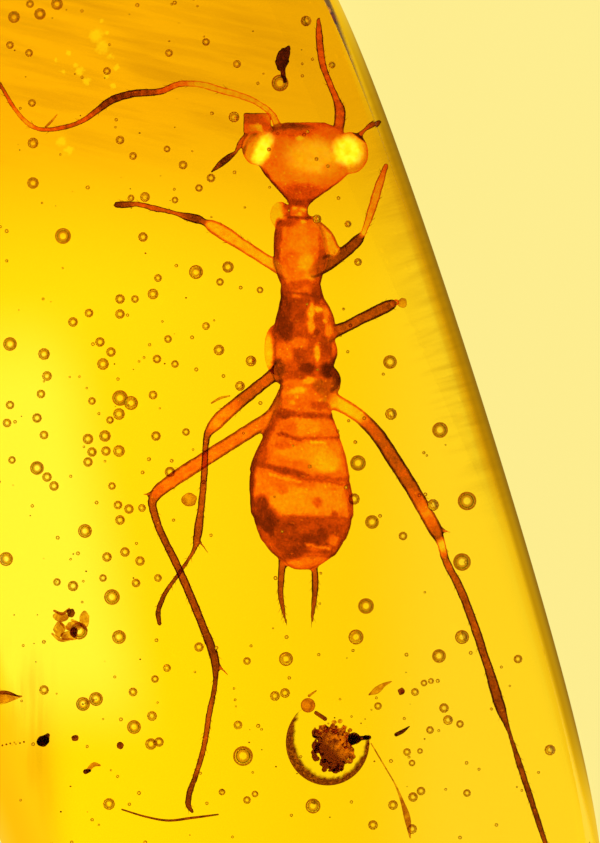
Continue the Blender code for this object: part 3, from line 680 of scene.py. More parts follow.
# Limbs: each point is (x, y, z, radius), from the body outwards. The second list gives how dark the
# skin is along the limb, as (number of the point, tone): 0 is pale yellow and 1 is nearly black.
LIMBS = {
    "left_antenna": ([
        (-0.20, 2.90, 0.04, 0.040), (-0.29, 3.08, 0.08, 0.034), (-0.42, 3.18, 0.10, 0.030), (-0.58, 3.25, 0.12, 0.034),
        (-0.76, 3.30, 0.13, 0.038), (-1.02, 3.37, 0.14, 0.034), (-1.20, 3.37, 0.15, 0.033), (-1.38, 3.30, 0.15, 0.036),
        (-1.68, 3.27, 0.15, 0.041), (-1.88, 3.21, 0.14, 0.042), (-2.02, 3.11, 0.13, 0.036), (-2.16, 3.01, 0.12, 0.029),
        (-2.40, 2.93, 0.11, 0.026), (-2.62, 2.925, 0.10, 0.025), (-2.72, 2.98, 0.09, 0.025), (-2.86, 3.14, 0.08, 0.024),
        (-3.00, 3.37, 0.06, 0.023), (-3.20, 3.62, 0.04, 0.020), (-3.40, 3.78, 0.02, 0.014),
    ], [(0, 0.24), (2, 0.16), (3, 0.14), (5, 0.14), (5.9, 0.42), (7, 0.56), (7.3, 0.78), (9.6, 0.9), (10.1, 0.64),
        (13, 0.54), (14, 0.3), (15, 0.46), (16, 0.72), (18, 0.74)]),
    "right_antenna": ([
        (0.36, 2.80, 0.05, 0.050), (0.39, 2.96, 0.08, 0.056), (0.40, 3.11, 0.11, 0.056), (0.37, 3.20, 0.13, 0.042),
        (0.29, 3.39, 0.17, 0.034), (0.23, 3.55, 0.20, 0.037), (0.20, 3.74, 0.24, 0.040), (0.19, 3.87, 0.27, 0.038),
        (0.185, 4.01, 0.30, 0.022),
    ], [(0, 0.52), (2, 0.61), (4, 0.57), (8, 0.61)]),
    "left_palp": ([
        (-0.45, 2.84, -0.04, 0.030), (-0.55, 2.84, -0.06, 0.030), (-0.62, 2.74, -0.07, 0.026), (-0.64, 2.70, -0.07, 0.018),
        (-0.70, 2.655, -0.08, 0.034), (-0.78, 2.59, -0.09, 0.036), (-0.885, 2.50, -0.10, 0.016),
    ], [(0, 0.5), (3, 0.7), (4, 0.92), (6, 0.95)]),
    "right_palp": ([
        (0.52, 2.80, 0.0, 0.030), (0.61, 2.88, 0.0, 0.028), (0.66, 2.925, 0.0, 0.020), (0.69, 2.95, 0.0, 0.030),
        (0.76, 2.99, 0.0, 0.034), (0.80, 3.02, 0.0, 0.026),
    ], [(0, 0.6), (3, 0.7), (5, 0.85)]),
    "left_front_leg": ([
        (-0.12, 1.50, -0.15, 0.085), (-0.26, 1.57, -0.12, 0.066), (-0.55, 1.75, -0.06, 0.064), (-0.90, 1.965, 0.0, 0.056),
        (-0.95, 1.99, 0.01, 0.038), (-1.02, 2.02, 0.02, 0.048), (-1.14, 2.05, 0.03, 0.042), (-1.20, 2.07, 0.03, 0.030),
        (-1.45, 2.13, 0.02, 0.033), (-1.66, 2.175, 0.0, 0.030), (-1.72, 2.17, 0.0, 0.036), (-1.83, 2.165, -0.02, 0.036),
    ], [(0, 0.45), (1, 0.24), (3, 0.27), (3.6, 0.6), (4, 0.80), (6, 0.86), (7, 0.68), (9, 0.66), (10, 0.84), (11, 0.9)]),
    "right_front_hip": ([(0.12, 2.00, -0.05, 0.060), (0.26, 1.84, -0.07, 0.080), (0.345, 1.70, -0.09, 0.064)],
                        [(0, 0.35), (2, 0.3)]),
    "right_front_leg": ([
        (0.12, 1.52, -0.16, 0.09), (0.27, 1.58, -0.13, 0.078), (0.38, 1.64, -0.09, 0.062), (0.50, 1.74, -0.05, 0.060),
        (0.60, 1.84, -0.02, 0.050), (0.625, 1.87, -0.01, 0.034), (0.66, 1.95, 0.0, 0.034), (0.72, 2.13, 0.03, 0.044),
        (0.79, 2.36, 0.06, 0.044), (0.86, 2.56, 0.08, 0.026),
    ], [(0, 0.7), (1, 0.76), (3, 0.84), (4, 0.8), (4.6, 0.16), (5.3, 0.16), (6, 0.34), (8, 0.32), (9, 0.5)]),
    "left_middle_leg": ([
        (-0.10, 0.62, -0.14, 0.10), (-0.24, 0.49, -0.15, 0.072), (-0.45, 0.32, -0.12, 0.066), (-0.66, 0.15, -0.08, 0.070),
        (-0.86, -0.04, -0.05, 0.068), (-0.92, -0.12, -0.06, 0.044), (-0.945, -0.25, -0.12, 0.034),
        (-0.955, -0.45, -0.22, 0.037), (-0.99, -0.85, -0.27, 0.038), (-1.035, -1.18, -0.31, 0.042),
        (-1.05, -1.25, -0.32, 0.030), (-1.19, -1.49, -0.35, 0.023), (-1.38, -1.78, -0.38, 0.028),
        (-1.425, -1.92, -0.39, 0.030), (-1.41, -2.03, -0.40, 0.026),
    ], [(0, 0.5), (1, 0.66), (2.6, 0.65), (3.2, 0.42), (4.2, 0.40), (5, 0.74), (7, 0.72), (9, 0.74), (11, 0.82),
        (14, 0.95)]),
    "left_middle_spur": ([(-1.00, -1.21, -0.31, 0.016), (-0.90, -1.35, -0.33, 0.007)], [(0, 0.7), (1, 0.7)]),
    "right_middle_leg": ([
        (0.20, 0.80, -0.14, 0.09), (0.35, 0.90, -0.11, 0.066), (0.42, 0.93, -0.09, 0.060), (0.68, 1.06, -0.04, 0.060),
        (0.88, 1.155, 0.0, 0.060), (0.915, 1.172, -0.01, 0.055), (0.945, 1.185, -0.06, 0.030),
        (0.955, 1.19, -0.16, 0.030), (0.965, 1.195, -0.40, 0.032), (0.97, 1.20, -0.70, 0.022),
    ], [(0, 0.6), (1, 0.6), (1.6, 0.72), (5, 0.78), (5.5, 0.2), (9, 0.2)]),
    "left_hind_leg": ([
        (-0.10, 0.30, -0.10, 0.11), (-0.27, 0.06, -0.06, 0.080), (-0.50, -0.09, 0.02, 0.076), (-0.97, -0.39, 0.12, 0.076),
        (-1.30, -0.61, 0.18, 0.074), (-1.44, -0.73, 0.20, 0.062), (-1.475, -0.81, 0.20, 0.046), (-1.45, -0.93, 0.18, 0.042),
        (-1.20, -1.50, 0.06, 0.043), (-0.98, -2.03, -0.06, 0.044), (-0.85, -2.42, -0.15, 0.044),
        (-0.845, -2.54, -0.17, 0.032), (-0.91, -2.94, -0.24, 0.034), (-0.97, -3.29, -0.30, 0.031),
        (-1.05, -3.56, -0.35, 0.030), (-1.115, -3.76, -0.38, 0.033), (-1.12, -3.86, -0.38, 0.030), (-1.075, -3.92, -0.37, 0.018),
    ], [(0, 0.5), (1, 0.48), (4, 0.46), (5, 0.6), (6, 0.74), (8, 0.78), (10, 0.87), (11, 0.9), (12, 0.68), (14, 0.84),
        (17, 0.92)]),
    "left_knee_spine": ([(-1.42, -0.71, 0.20, 0.035), (-1.56, -0.73, 0.20, 0.009)], [(0, 0.6), (1, 0.6)]),
    "left_hind_spur": ([(-0.83, -2.42, -0.15, 0.018), (-0.67, -2.60, -0.18, 0.008)], [(0, 0.65), (1, 0.6)]),
    "right_hind_leg": ([
        (0.14, 0.35, -0.12, 0.12), (0.31, 0.22, -0.08, 0.088), (0.53, 0.10, -0.01, 0.072), (0.74, -0.09, 0.05, 0.074),
        (0.93, -0.37, 0.09, 0.076), (1.09, -0.62, 0.10, 0.074), (1.24, -0.88, 0.10, 0.072), (1.36, -1.10, 0.08, 0.068),
        (1.40, -1.19, 0.07, 0.048), (1.45, -1.37, 0.06, 0.042), (1.58, -1.63, 0.03, 0.044), (1.87, -2.42, -0.05, 0.046),
        (2.03, -2.93, -0.10, 0.046), (2.06, -3.01, -0.11, 0.032), (2.20, -3.44, -0.14, 0.034), (2.45, -4.20, -0.18, 0.030),
        (2.57, -4.56, -0.20, 0.030), (2.64, -4.70, -0.20, 0.018),
    ], [(0, 0.8), (0.6, 0.74), (1.0, 0.35), (1.4, 0.16), (2.3, 0.18), (2.7, 0.58), (3.4, 0.72), (4.5, 0.67),
        (5.2, 0.68), (6.2, 0.42), (6.9, 0.64), (7.5, 0.76), (8.1, 0.2), (8.6, 0.3), (9, 0.70), (12, 0.83), (17, 0.88)]),
    "right_knee_spine": ([(1.38, -1.06, 0.08, 0.024), (1.51, -1.115, 0.08, 0.008)], [(0, 0.6), (1, 0.6)]),
    "left_cercus": ([
        (-0.15, -1.30, 0.0, 0.060), (-0.175, -1.42, 0.0, 0.042), (-0.19, -1.58, 0.0, 0.036), (-0.195, -1.71, 0.0, 0.032),
        (-0.165, -1.90, 0.0, 0.022), (-0.13, -2.04, 0.0, 0.009),
    ], [(0, 0.58), (2, 0.76), (5, 0.82)]),
    "right_cercus": ([
        (0.13, -1.32, 0.0, 0.060), (0.145, -1.46, 0.0, 0.036), (0.15, -1.62, 0.0, 0.036), (0.145, -1.77, 0.0, 0.030),
        (0.125, -1.94, 0.0, 0.020), (0.11, -2.07, 0.0, 0.009),
    ], [(0, 0.58), (2, 0.76), (5, 0.82)]),
}
print(len(BODY), "body parts,", len(RING_EDGES) - 1, "rings and", len(LIMBS), "limbs and spurs")

# %% [markdown]
# A smooth line through given points could come from Blender's curves, but a short function keeps
# the thickness and the place together: at each point the line takes the slope of its neighbours,
# and a cubic joins one to the next.

# %% Smooth lines, lofts and tubes
def smooth_line(points, step):
    """Points close together on a smooth line through the given ones, and where each one lies."""
    points = np.array(points, float)
    spans = np.linalg.norm(np.diff(points[:, :3], axis=0), axis=1)
    reach = np.concatenate([[0.0], np.cumsum(spans)])
    slopes = np.gradient(points, reach, axis=0)
    at = np.linspace(0, reach[-1], max(int(reach[-1] / step), len(points)) + 1)
    k = np.clip(np.searchsorted(reach, at, "right") - 1, 0, len(points) - 2)
    span = (reach[k + 1] - reach[k])[:, None]
    t = ((at - reach[k]) / span[:, 0])[:, None]
    curve = ((2 * t**3 - 3 * t**2 + 1) * points[k] + (t**3 - 2 * t**2 + t) * span * slopes[k]
             + (3 * t**2 - 2 * t**3) * points[k + 1] + (t**3 - t**2) * span * slopes[k + 1])
    return curve, k + t[:, 0]


def body_form(sections, step=0.02, count=48):
    """A closed form through sections (y, x, half width, half height)."""
    sections = np.array(sections, float)
    order = sections[:, 0].argsort()
    sections = sections[order]
    slopes = np.gradient(sections, sections[:, 0], axis=0)
    ys = np.linspace(sections[0, 0], sections[-1, 0], max(int(np.ptp(sections[:, 0]) / step), 6))
    k = np.clip(np.searchsorted(sections[:, 0], ys, "right") - 1, 0, len(sections) - 2)
    span = (sections[k + 1, 0] - sections[k, 0])[:, None]
    t = ((ys - sections[k, 0]) / span[:, 0])[:, None]
    rows = ((2 * t**3 - 3 * t**2 + 1) * sections[k] + (t**3 - 2 * t**2 + t) * span * slopes[k]
            + (3 * t**2 - 2 * t**3) * sections[k + 1] + (t**3 - t**2) * span * slopes[k + 1])
    turns = np.arange(count) * 2 * math.pi / count
    points = [(x + w * math.cos(a), y, h * math.sin(a)) for y, x, w, h in rows for a in turns]
    return points, loft_faces(count, len(rows)), rows


def limb_form(points, step=0.02, count=20):
    """A tube along a smooth line, with rounded ends."""
    line, at = smooth_line(points, step)
    centre, radius = line[:, :3], np.maximum(line[:, 3], 0.006)
    way = np.gradient(centre, axis=0)
    way /= np.linalg.norm(way, axis=1)[:, None]
    side = np.cross(way, (0.0, 0.0, 1.0))
    side /= np.linalg.norm(side, axis=1)[:, None]
    rise = np.cross(side, way)
    rings = []
    for end, sign in ((0, -1), (len(line) - 1, 1)):
        caps = [(centre[end] + way[end] * sign * radius[end] * math.sin(a), side[end], rise[end],
                 radius[end] * math.cos(a)) for a in (1.3, 0.8, 0.4)]
        rings.append(caps if end == 0 else caps[::-1])
    middle = list(zip(centre, side, rise, radius))
    stack = rings[0] + middle + rings[1]
    turns = np.arange(count) * 2 * math.pi / count
    vertices = [c + r * (math.cos(a) * s + math.sin(a) * u) for c, s, u, r in stack for a in turns]
    return vertices, loft_faces(count, len(stack)), np.column_stack([centre, radius]), at


def joined(shapes):
    """One list of points and faces from several shapes."""
    vertices, faces = [], []
    for shape in shapes:
        start = len(vertices)
        vertices.extend(shape[0])
        faces.extend(tuple(start + i for i in face) for face in shape[1])
    return vertices, faces


def ball_form(middle, half_sizes, count=32):
    rows = [(math.sin(math.pi * k / 16), -math.cos(math.pi * k / 16)) for k in range(1, 16)]
    turns = [2 * math.pi * i / count for i in range(count)]
    vertices = [(middle[0] + half_sizes[0] * r * math.cos(a), middle[1] + half_sizes[1] * r * math.sin(a),
                 middle[2] + half_sizes[2] * z) for r, z in rows for a in turns]
    return vertices, loft_faces(count, len(rows))


def box_form(middle, size):
    vertices = [[m + s * (k - 0.5) for m, s, k in zip(middle, size, corner)]
                for corner in ((0, 0, 0), (1, 0, 0), (1, 1, 0), (0, 1, 0), (0, 0, 1), (1, 0, 1), (1, 1, 1), (0, 1, 1))]
    return vertices, loft_faces(4, 2)


def abdomen_rows():
    """The abdomen's rings, each one tucked under the ring before it."""
    table = np.array(ABDOMEN)[::-1]
    for front, rear in zip(RING_EDGES, RING_EDGES[1:]):
        sections = []
        for along, share in RING_SHARES:
            y = front + RING_OVERLAP if along < 0 else front + (rear - front) * along
            x, w, h = (np.interp(min(y, 0.5), table[:, 0], table[:, k]) for k in (1, 2, 3))
            sections.append((y, x, w * share, h * share))
        yield sections


def warped(points):
    """A ring's points moved along the body a little, so that its edge slants and waves."""
    moved = []
    for x, y, z in points:
        slant = -0.09 * x * math.exp(-((y + 0.54) / 0.22) ** 2)
        moved.append((x, y + slant + 0.022 * noise.noise((x * 5, y * 3, z * 3)), z))
    return moved


body_forms = [body_form(sections) for sections in BODY.values()]
for sections in abdomen_rows():
    points, faces, rows = body_form(sections)
    body_forms.append((warped(points), faces, rows))
limb_forms = {name: limb_form(points) for name, (points, _) in LIMBS.items()}
lump_forms = [ball_form(*ball) for ball in (*EYES.values(), *LUMPS.values())]
plate_form = box_form(MOUTH_PLATE_MIDDLE, MOUTH_PLATE_SIZE)
print("forms:", len(body_forms), "+", len(limb_forms), "+", len(lump_forms), "+ 1 plate")

# %% [markdown]
# ## One skin over all the forms
#
# A real insect is one continuous shell. The overlapping forms are melted together with Blender's
# voxel remesh, which is like shrink-wrapping them in fine cloth, and then smoothed. It works on
# millimetres here, because the smallest voxel that Blender allows is 0.1 mm in metres.

# %% Voxel skin
VOXEL = 0.0165


def skin_over(name, shapes, voxel, smoothing=4):
    """One closed mesh over all the shapes, as arrays of points, normals and faces."""
    vertices, faces = joined(shapes)
    mesh = bpy.data.meshes.new(name)
    mesh.from_pydata([tuple(map(float, point)) for point in vertices], [], faces)
    holder = bpy.data.objects.new(name, mesh)
    bpy.context.scene.collection.objects.link(holder)
    bm = bmesh.new()
    bm.from_mesh(mesh)
    bmesh.ops.recalc_face_normals(bm, faces=bm.faces)
    bm.to_mesh(mesh)
    bm.free()
    melt = holder.modifiers.new("melt", "REMESH")
    melt.mode = "VOXEL"
    melt.voxel_size = voxel
    calm = holder.modifiers.new("calm", "SMOOTH")
    calm.factor, calm.iterations = 0.5, smoothing
    graph = bpy.context.evaluated_depsgraph_get()
    done = bpy.data.meshes.new_from_object(holder.evaluated_get(graph))
    points = np.empty(len(done.vertices) * 3)
    normals = np.empty(len(done.vertices) * 3)
    done.vertices.foreach_get("co", points)
    done.vertices.foreach_get("normal", normals)
    quads = [tuple(polygon.vertices) for polygon in done.polygons]
    bpy.data.objects.remove(holder)
    return points.reshape(-1, 3), normals.reshape(-1, 3), quads


everything = [form[:2] for form in body_forms] + [form[:2] for form in limb_forms.values()]
everything += lump_forms + [plate_form]
skin_points, skin_normals, skin_quads = skin_over("insect_skin", everything, VOXEL)
print("insect skin:", len(skin_points), "points,", 2 * len(skin_quads), "triangles")

# %% [markdown]
# ## How dark the skin is, point by point
#
# Insect skin isn't one colour: it is thin and pale between plates, dark along their edges, and
# blotched. Painting a picture onto it would tie it to one view, so every point gets a number
# instead, its tone. A limb's tone runs along its length, the body's tone comes from soft round
# marks, and the material turns the number into a colour.

# %% Tones of the body and the limbs
BODY_TONE = [(3.10, 0.52), (2.90, 0.40), (2.45, 0.36), (2.35, 0.44), (2.20, 0.58), (2.05, 0.50), (1.95, 0.40),
             (1.40, 0.40), (1.25, 0.58), (0.70, 0.60), (0.50, 0.52), (0.20, 0.44), (-0.95, 0.40), (-1.00, 0.58),
             (-1.35, 0.60), (-1.55, 0.40)]
# Soft marks in the order of painting: a point of the picture, two half sizes, a turn in degrees, and
# the tone that they leave. 0 is pale yellow and 1 is nearly black.
HEAD_MARKS = [
    (311, 159, 32, 23, 0, 0.27), (315, 157, 20, 15, 0, 0.12), (277, 157, 8, 20, 25, 0.35), (300, 177, 24, 5, 0, 0.30),
    (302, 193, 19, 9, 0, 0.56),
    (289, 129, 26, 7, -3, 0.57), (330, 133, 13, 5, -15, 0.40), (300, 138, 4, 2, 0, 0.02), (254, 122, 14, 12, 0, 0.66),
    (298, 212, 9, 8, 0, 0.44), (295, 208, 3, 2, 0, 0.08), (303, 209, 3, 2, 0, 0.10), (299, 214, 2, 2, 0, 0.10),
    (275, 215, 8, 15, 0, 0.06), (328, 168, 7, 5, 0, 0.26),
]
THORAX_MARKS = [
    (287, 223, 8, 4, 0, 0.62), (300, 243, 12, 9, 0, 0.33), (306, 262, 7, 9, 0, 0.22), (308, 278, 5, 4, 0, 0.26),
    (302, 286, 14, 6, 0, 0.56), (304, 222, 3, 2, 0, 0.12), (300, 230, 8, 4, 0, 0.34), (290, 262, 8, 12, 0, 0.44),
    (284, 313, 8, 22, -5, 0.76), (285, 330, 9, 12, 0, 0.80), (300, 301, 10, 4, 0, 0.68), (297, 294, 5, 4, 0, 0.40),
    (305, 290, 4, 6, 0, 0.45), (317, 292, 5, 11, 0, 0.76), (298, 314, 7, 12, 0, 0.66), (303, 333, 11, 8, 0, 0.62),
    (299, 343, 9, 5, 0, 0.40), (285, 352, 8, 10, 10, 0.43), (301, 356, 8, 8, 0, 0.64), (328, 345, 7, 11, 0, 0.68),
    (335, 350, 3, 12, 0, 0.42), (311, 312, 3, 9, 0, 0.18), (311, 326, 3.5, 7, 0, 0.26), (319, 310, 5, 2.5, -10, 0.16),
    # The small pale mark at (325, 321) is a painted glint.
    (325, 321, 2, 3, 20, 0.12), (326, 314, 3, 7, 0, 0.36), (329, 331, 4, 7, 0, 0.34), (317, 333, 3, 3, 0, 0.72),
    (317, 353, 3, 8, 0, 0.18), (298, 375, 18, 5, 0, 0.64), (279, 368, 7, 8, 0, 0.88), (307, 368, 9, 5, 0, 0.80),
    (328, 371, 8, 8, 30, 0.88), (337, 383, 4.5, 8, -25, 0.80), (333, 391, 3.5, 4, 0, 0.80), (295, 383, 14, 4, 0, 0.42),
    (310, 380, 6, 4, 0, 0.20), (297, 391, 9, 3.5, 10, 0.16), (303, 399, 18, 6, 0, 0.42), (292, 403, 3, 2, 0, 0.26),
    (320, 405, 10, 5, 0, 0.60), (324, 400, 7, 1.6, 0, 0.26), (268, 352, 5, 18, 0, 0.10), (269, 353, 2.2, 2.2, 0, 0.0),
    (338, 372, 6, 16, 10, 0.84),
]
ABDOMEN_MARKS = [
    (305, 427, 17, 8, 0, 0.30), (330, 430, 8, 8, 0, 0.42), (288, 428, 9, 9, 0, 0.44), (300, 452, 25, 8, 0, 0.30),
    (283, 445, 10, 4, 0, 0.50), (322, 455, 15, 10, 0, 0.24), (325, 464, 14, 8, 0, 0.17), (262, 452, 7, 11, 0, 0.60),
    (336, 446, 6, 5, 0, 0.34), (295, 502, 30, 15, 0, 0.27), (327, 500, 18, 17, 0, 0.31), (261, 490, 9, 15, 0, 0.38),
    (283, 489, 5, 5, 0, 0.44), (318, 503, 5, 5, 0, 0.52), (300, 483, 5, 4, 0, 0.46), (333, 488, 3, 8, 0, 0.40),
    (300, 539, 50, 21, 0, 0.66), (284, 414, 7, 5, 0, 0.76), (266, 523, 14, 15, 20, 0.82), (262, 506, 7, 11, 0, 0.74),
    (285, 535, 11, 14, 0, 0.68), (310, 539, 15, 4, 0, 0.76), (322, 533, 5, 5, 0, 0.76), (303, 529, 6, 4, 0, 0.60),
    (313, 527, 5, 3, 0, 0.60), (334, 541, 6, 5, 0, 0.40), (317, 549, 8, 3, 0, 0.52), (326, 552, 5, 3, 0, 0.70),
    (296, 552, 13, 6, 0, 0.74), (281, 549, 8, 7, 0, 0.68), (315, 560, 15, 6, 0, 0.40), (295, 564, 9, 4, 0, 0.36),
    (265, 541, 5, 8, 0, 0.50), (335, 515, 4, 4, 0, 0.58),
]
# Painted lines: from one point to another, the half width, and the tone.
LINE_MARKS = [
    (258, 167, 288, 203, 3.0, 0.76), (352, 178, 311, 203, 2.6, 0.70), (288, 203, 311, 203, 4.0, 0.72),
    (262, 121, 312, 119, 2.0, 0.58), (312, 121, 345, 128, 2.0, 0.52), (331, 148, 342, 168, 1.2, 0.46),
    (288, 204, 289, 218, 1.6, 0.66), (308, 204, 307, 218, 1.6, 0.62), (288, 217, 310, 218, 1.6, 0.74),
    (279, 222, 275, 262, 3.6, 0.73), (276, 262, 283, 290, 4.5, 0.70), (321, 224, 322, 255, 2.6, 0.56),
    (322, 255, 318, 292, 4.5, 0.68), (281, 292, 322, 296, 1.6, 0.72), (281, 380, 279, 408, 2.6, 0.70),
    (280, 413, 331, 417, 3.0, 0.68), (277, 412, 265, 436, 5.0, 0.70), (266, 436, 254, 462, 4.0, 0.66),
    (253, 462, 249, 500, 4.0, 0.76), (250, 500, 256, 525, 5.0, 0.74), (258, 528, 283, 560, 3.0, 0.56),
    (278, 434, 300, 439, 1.8, 0.68), (300, 439, 338, 437, 1.4, 0.60), (312, 442, 325, 443, 1.2, 0.08),
    (252, 462, 285, 471, 3.2, 0.70), (285, 471, 308, 477, 3.4, 0.72), (306, 477, 346, 480, 2.0, 0.60),
    (270, 475, 300, 482, 1.2, 0.22), (310, 480, 349, 485, 1.4, 0.60), (347, 478, 351, 515, 3.0, 0.60),
    (283, 517, 350, 519, 1.8, 0.66), (350, 520, 336, 552, 3.0, 0.62), (306, 545, 330, 548, 1.2, 0.30),
    (303, 556, 330, 556, 1.2, 0.60),
]
MARK_WOBBLE = 0.018
SEGMENT_LENGTH = 0.08
# Painted light where light gathers in the eyes, and a little over the brow. The last number is how much.
GLOWS = [(262.5, 149.5, 7.5, 15, -24, 1.0), (347.5, 151, 14, 13.5, -10, 1.0), (311, 158, 24, 17, 0, 0.14)]
EYE_TONE = 0.22
# The mouth plate and the plate over the brow are thin and brown, like the limbs.
BROWN_PLATES = [(254, 122, 15, 13, 0), (289, 129, 24, 6, -3)]


def smooth_step(value):
    value = np.clip(value, 0, 1)
    return value * value * (3 - 2 * value)


def limb_tones(points):
    """For each point: how far the nearest limb's surface is, and that limb's tone there."""
    best, tone = np.full(len(points), 9.0), np.zeros(len(points))
    for name, (_, stops) in LIMBS.items():
        line, at = limb_forms[name][2:]
        near = np.linalg.norm(points[:, None] - line[None, :, :3], axis=2) - line[:, 3]
        nearest = near.argmin(axis=1)
        gap = near[np.arange(len(points)), nearest]
        here = np.interp(at[nearest], [stop[0] for stop in stops], [stop[1] for stop in stops])
        if "antenna" in name:
            here = here + 0.06 * np.cos(2 * math.pi * nearest * 0.02 / SEGMENT_LENGTH)
        better = gap < best
        best[better], tone[better] = gap[better], here[better]
    return best, tone


def body_gap(points):
    """For each point, how far it is outside the nearest body form."""
    best = np.full(len(points), 9.0)
    for _, _, rows in body_forms:
        x, w, h = (np.interp(points[:, 1], rows[:, 0], rows[:, k]) for k in (1, 2, 3))
        beyond = np.maximum(rows[0, 0] - points[:, 1], points[:, 1] - rows[-1, 0])
        oval = np.hypot((points[:, 0] - x) / w, points[:, 2] / h)
        best = np.minimum(best, np.maximum((oval - 1) * np.minimum(w, h), beyond))
    return best


def ball_gap(points, middle, half_sizes):
    away = (points - np.array(middle)) / np.array(half_sizes)
    return (np.linalg.norm(away, axis=1) - 1) * min(half_sizes)


def oval_share(places, px, py, half_x, half_y, turn):
    """1 inside an oval of the picture, 0 outside it, and soft between."""
    away = (places - np.array(on_insect(px, py)[:2])) * POINTS_PER_MM
    c, s = math.cos(math.radians(turn)), math.sin(math.radians(turn))
    reach = np.hypot((away[:, 0] * c + away[:, 1] * s) / half_x, (away[:, 1] * c - away[:, 0] * s) / half_y)
    return smooth_step((1.4 - reach) / 0.75)


def line_share(places, x1, y1, x2, y2, half_width):
    """1 on a line of the picture, fading out over its half width."""
    start, end = (np.array(on_insect(x, y)[:2]) for x, y in ((x1, y1), (x2, y2)))
    run = end - start
    along = np.clip((places - start) @ run / (run @ run), 0, 1)
    away = np.linalg.norm(places - start - along[:, None] * run, axis=1) * POINTS_PER_MM
    return smooth_step(1.5 - away / half_width)


def skin_tones(points):
    limb_near, limb_tone = limb_tones(points)
    body_near = body_gap(points)
    broad = np.array([noise.noise_vector(Vector(p) * 11)[:2] for p in points])
    fine = np.array([noise.noise_vector(Vector(p) * 37)[:2] for p in points])
    places = points[:, :2] + (broad + fine * 0.8) * MARK_WOBBLE
    tone = np.interp(points[:, 1], [t[0] for t in BODY_TONE][::-1], [t[1] for t in BODY_TONE][::-1])
    for *mark, target in HEAD_MARKS + THORAX_MARKS + ABDOMEN_MARKS:
        tone += (target - tone) * oval_share(places, *mark)
    for *mark, target in LINE_MARKS:
        tone += (target - tone) * line_share(places, *mark) * 0.85
    on_limb = smooth_step((body_near - limb_near + 0.01) / 0.03)
    core = np.zeros(len(points))
    for *mark, strength in GLOWS:
        core = np.maximum(core, strength * oval_share(places, *mark))
    ball = np.zeros(len(points))
    for middle, half_sizes in EYES.values():
        near = ball_gap(points, middle, half_sizes)
        ball = np.maximum(ball, smooth_step((body_near - near + 0.004) / 0.02) * (np.abs(near) < 0.06))
    tone += (EYE_TONE - tone) * ball
    tone = tone * (1 - on_limb) + limb_tone * on_limb
    thin = on_limb
    for mark in BROWN_PLATES:
        thin = np.maximum(thin, 0.9 * oval_share(places, *mark))
    return tone, core * (1 - on_limb), thin


skin_tone, skin_eye, skin_limb = skin_tones(skin_points)
print("tones from", round(float(skin_tone.min()), 2), "to", round(float(skin_tone.max()), 2))

# %% [markdown]
# ## Fine relief and hairs
#
# A light unevenness keeps the skin from looking like plastic. The hairs are thin cones that start
# just under the skin and lean back along the limb.

# %% Relief and hairs
RELIEF = 0.004
HAIR_SIDES = 4
relief = np.array([noise.noise(Vector(point) * 14) + 0.5 * noise.noise(Vector(point) * 33) for point in skin_points])
skin_points = skin_points + skin_normals * (relief * RELIEF)[:, None]


def hair_form(root, way, length, radius):
    """A thin cone with a closed root."""
    way = way / np.linalg.norm(way)
    side = np.cross(way, (0.3, 0.2, 1.0))
    side /= np.linalg.norm(side)
    rise = np.cross(side, way)
    turns = [2 * math.pi * i / HAIR_SIDES for i in range(HAIR_SIDES)]
    vertices = [root + radius * (math.cos(a) * side + math.sin(a) * rise) for a in turns] + [root + way * length]
    tip = HAIR_SIDES
    faces = [(i, (i + 1) % HAIR_SIDES, tip) for i in range(HAIR_SIDES)] + [tuple(range(HAIR_SIDES - 1, -1, -1))]
    return vertices, faces


hair_draw = np.random.default_rng(7)
HAIRY = {"left_hind_leg": 46, "right_hind_leg": 46, "left_middle_leg": 30, "left_front_leg": 20, "right_front_leg": 14,
         "left_cercus": 16, "right_cercus": 16, "left_antenna": 26, "right_antenna": 14, "right_middle_leg": 8}
hairs = []
for name, count in HAIRY.items():
    line, _ = limb_forms[name][2:]
    for k in hair_draw.integers(len(line) // 6, len(line) - 2, count):
        along = line[k + 1, :3] - line[k - 1, :3]
        along /= np.linalg.norm(along)
        out = np.cross(along, (0, 0, 1.0)) * hair_draw.choice((-1, 1)) + np.array((0, 0, hair_draw.uniform(-0.8, 0.8)))
        out /= np.linalg.norm(out)
        root = line[k, :3] + out * (line[k, 3] - 0.004)
        hairs.append(hair_form(root, out + along * 1.2, hair_draw.uniform(0.03, 0.06), 0.003))
hair_points, hair_faces = joined(hairs)
print(len(hairs), "hairs")

# %% [markdown]
# ## The insect as one piece
#
# The skin and the hairs go into one mesh, which is turned and scaled into its place in the slab.
# The tones travel with it as attributes, numbers that Blender keeps for every point.

# %% The insect piece
cuticle_material, cuticle = new_finish("cuticle")
all_points = np.vstack([skin_points, np.array(hair_points)])
all_tones = np.concatenate([skin_tone, np.full(len(hair_points), 0.6)])
all_eyes = np.concatenate([skin_eye, np.zeros(len(hair_points))])
all_limbs = np.concatenate([skin_limb, np.ones(len(hair_points))])
to_slab = np.array(lie)
placed = all_points @ to_slab[:3, :3].T + to_slab[:3, 3]
shifted = [tuple(len(skin_points) + i for i in face) for face in hair_faces]
insect = mesh_object("insect_body", placed, skin_quads + shifted, cuticle_material)
for name, values in (("tone", all_tones), ("eye", all_eyes), ("limb", all_limbs)):
    attribute = insect.data.attributes.new(name, "FLOAT", "POINT")
    attribute.data.foreach_set("value", values.astype(np.float32))
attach(insect, "root")
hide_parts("insect")
print("insect:", len(insect.data.polygons), "faces")
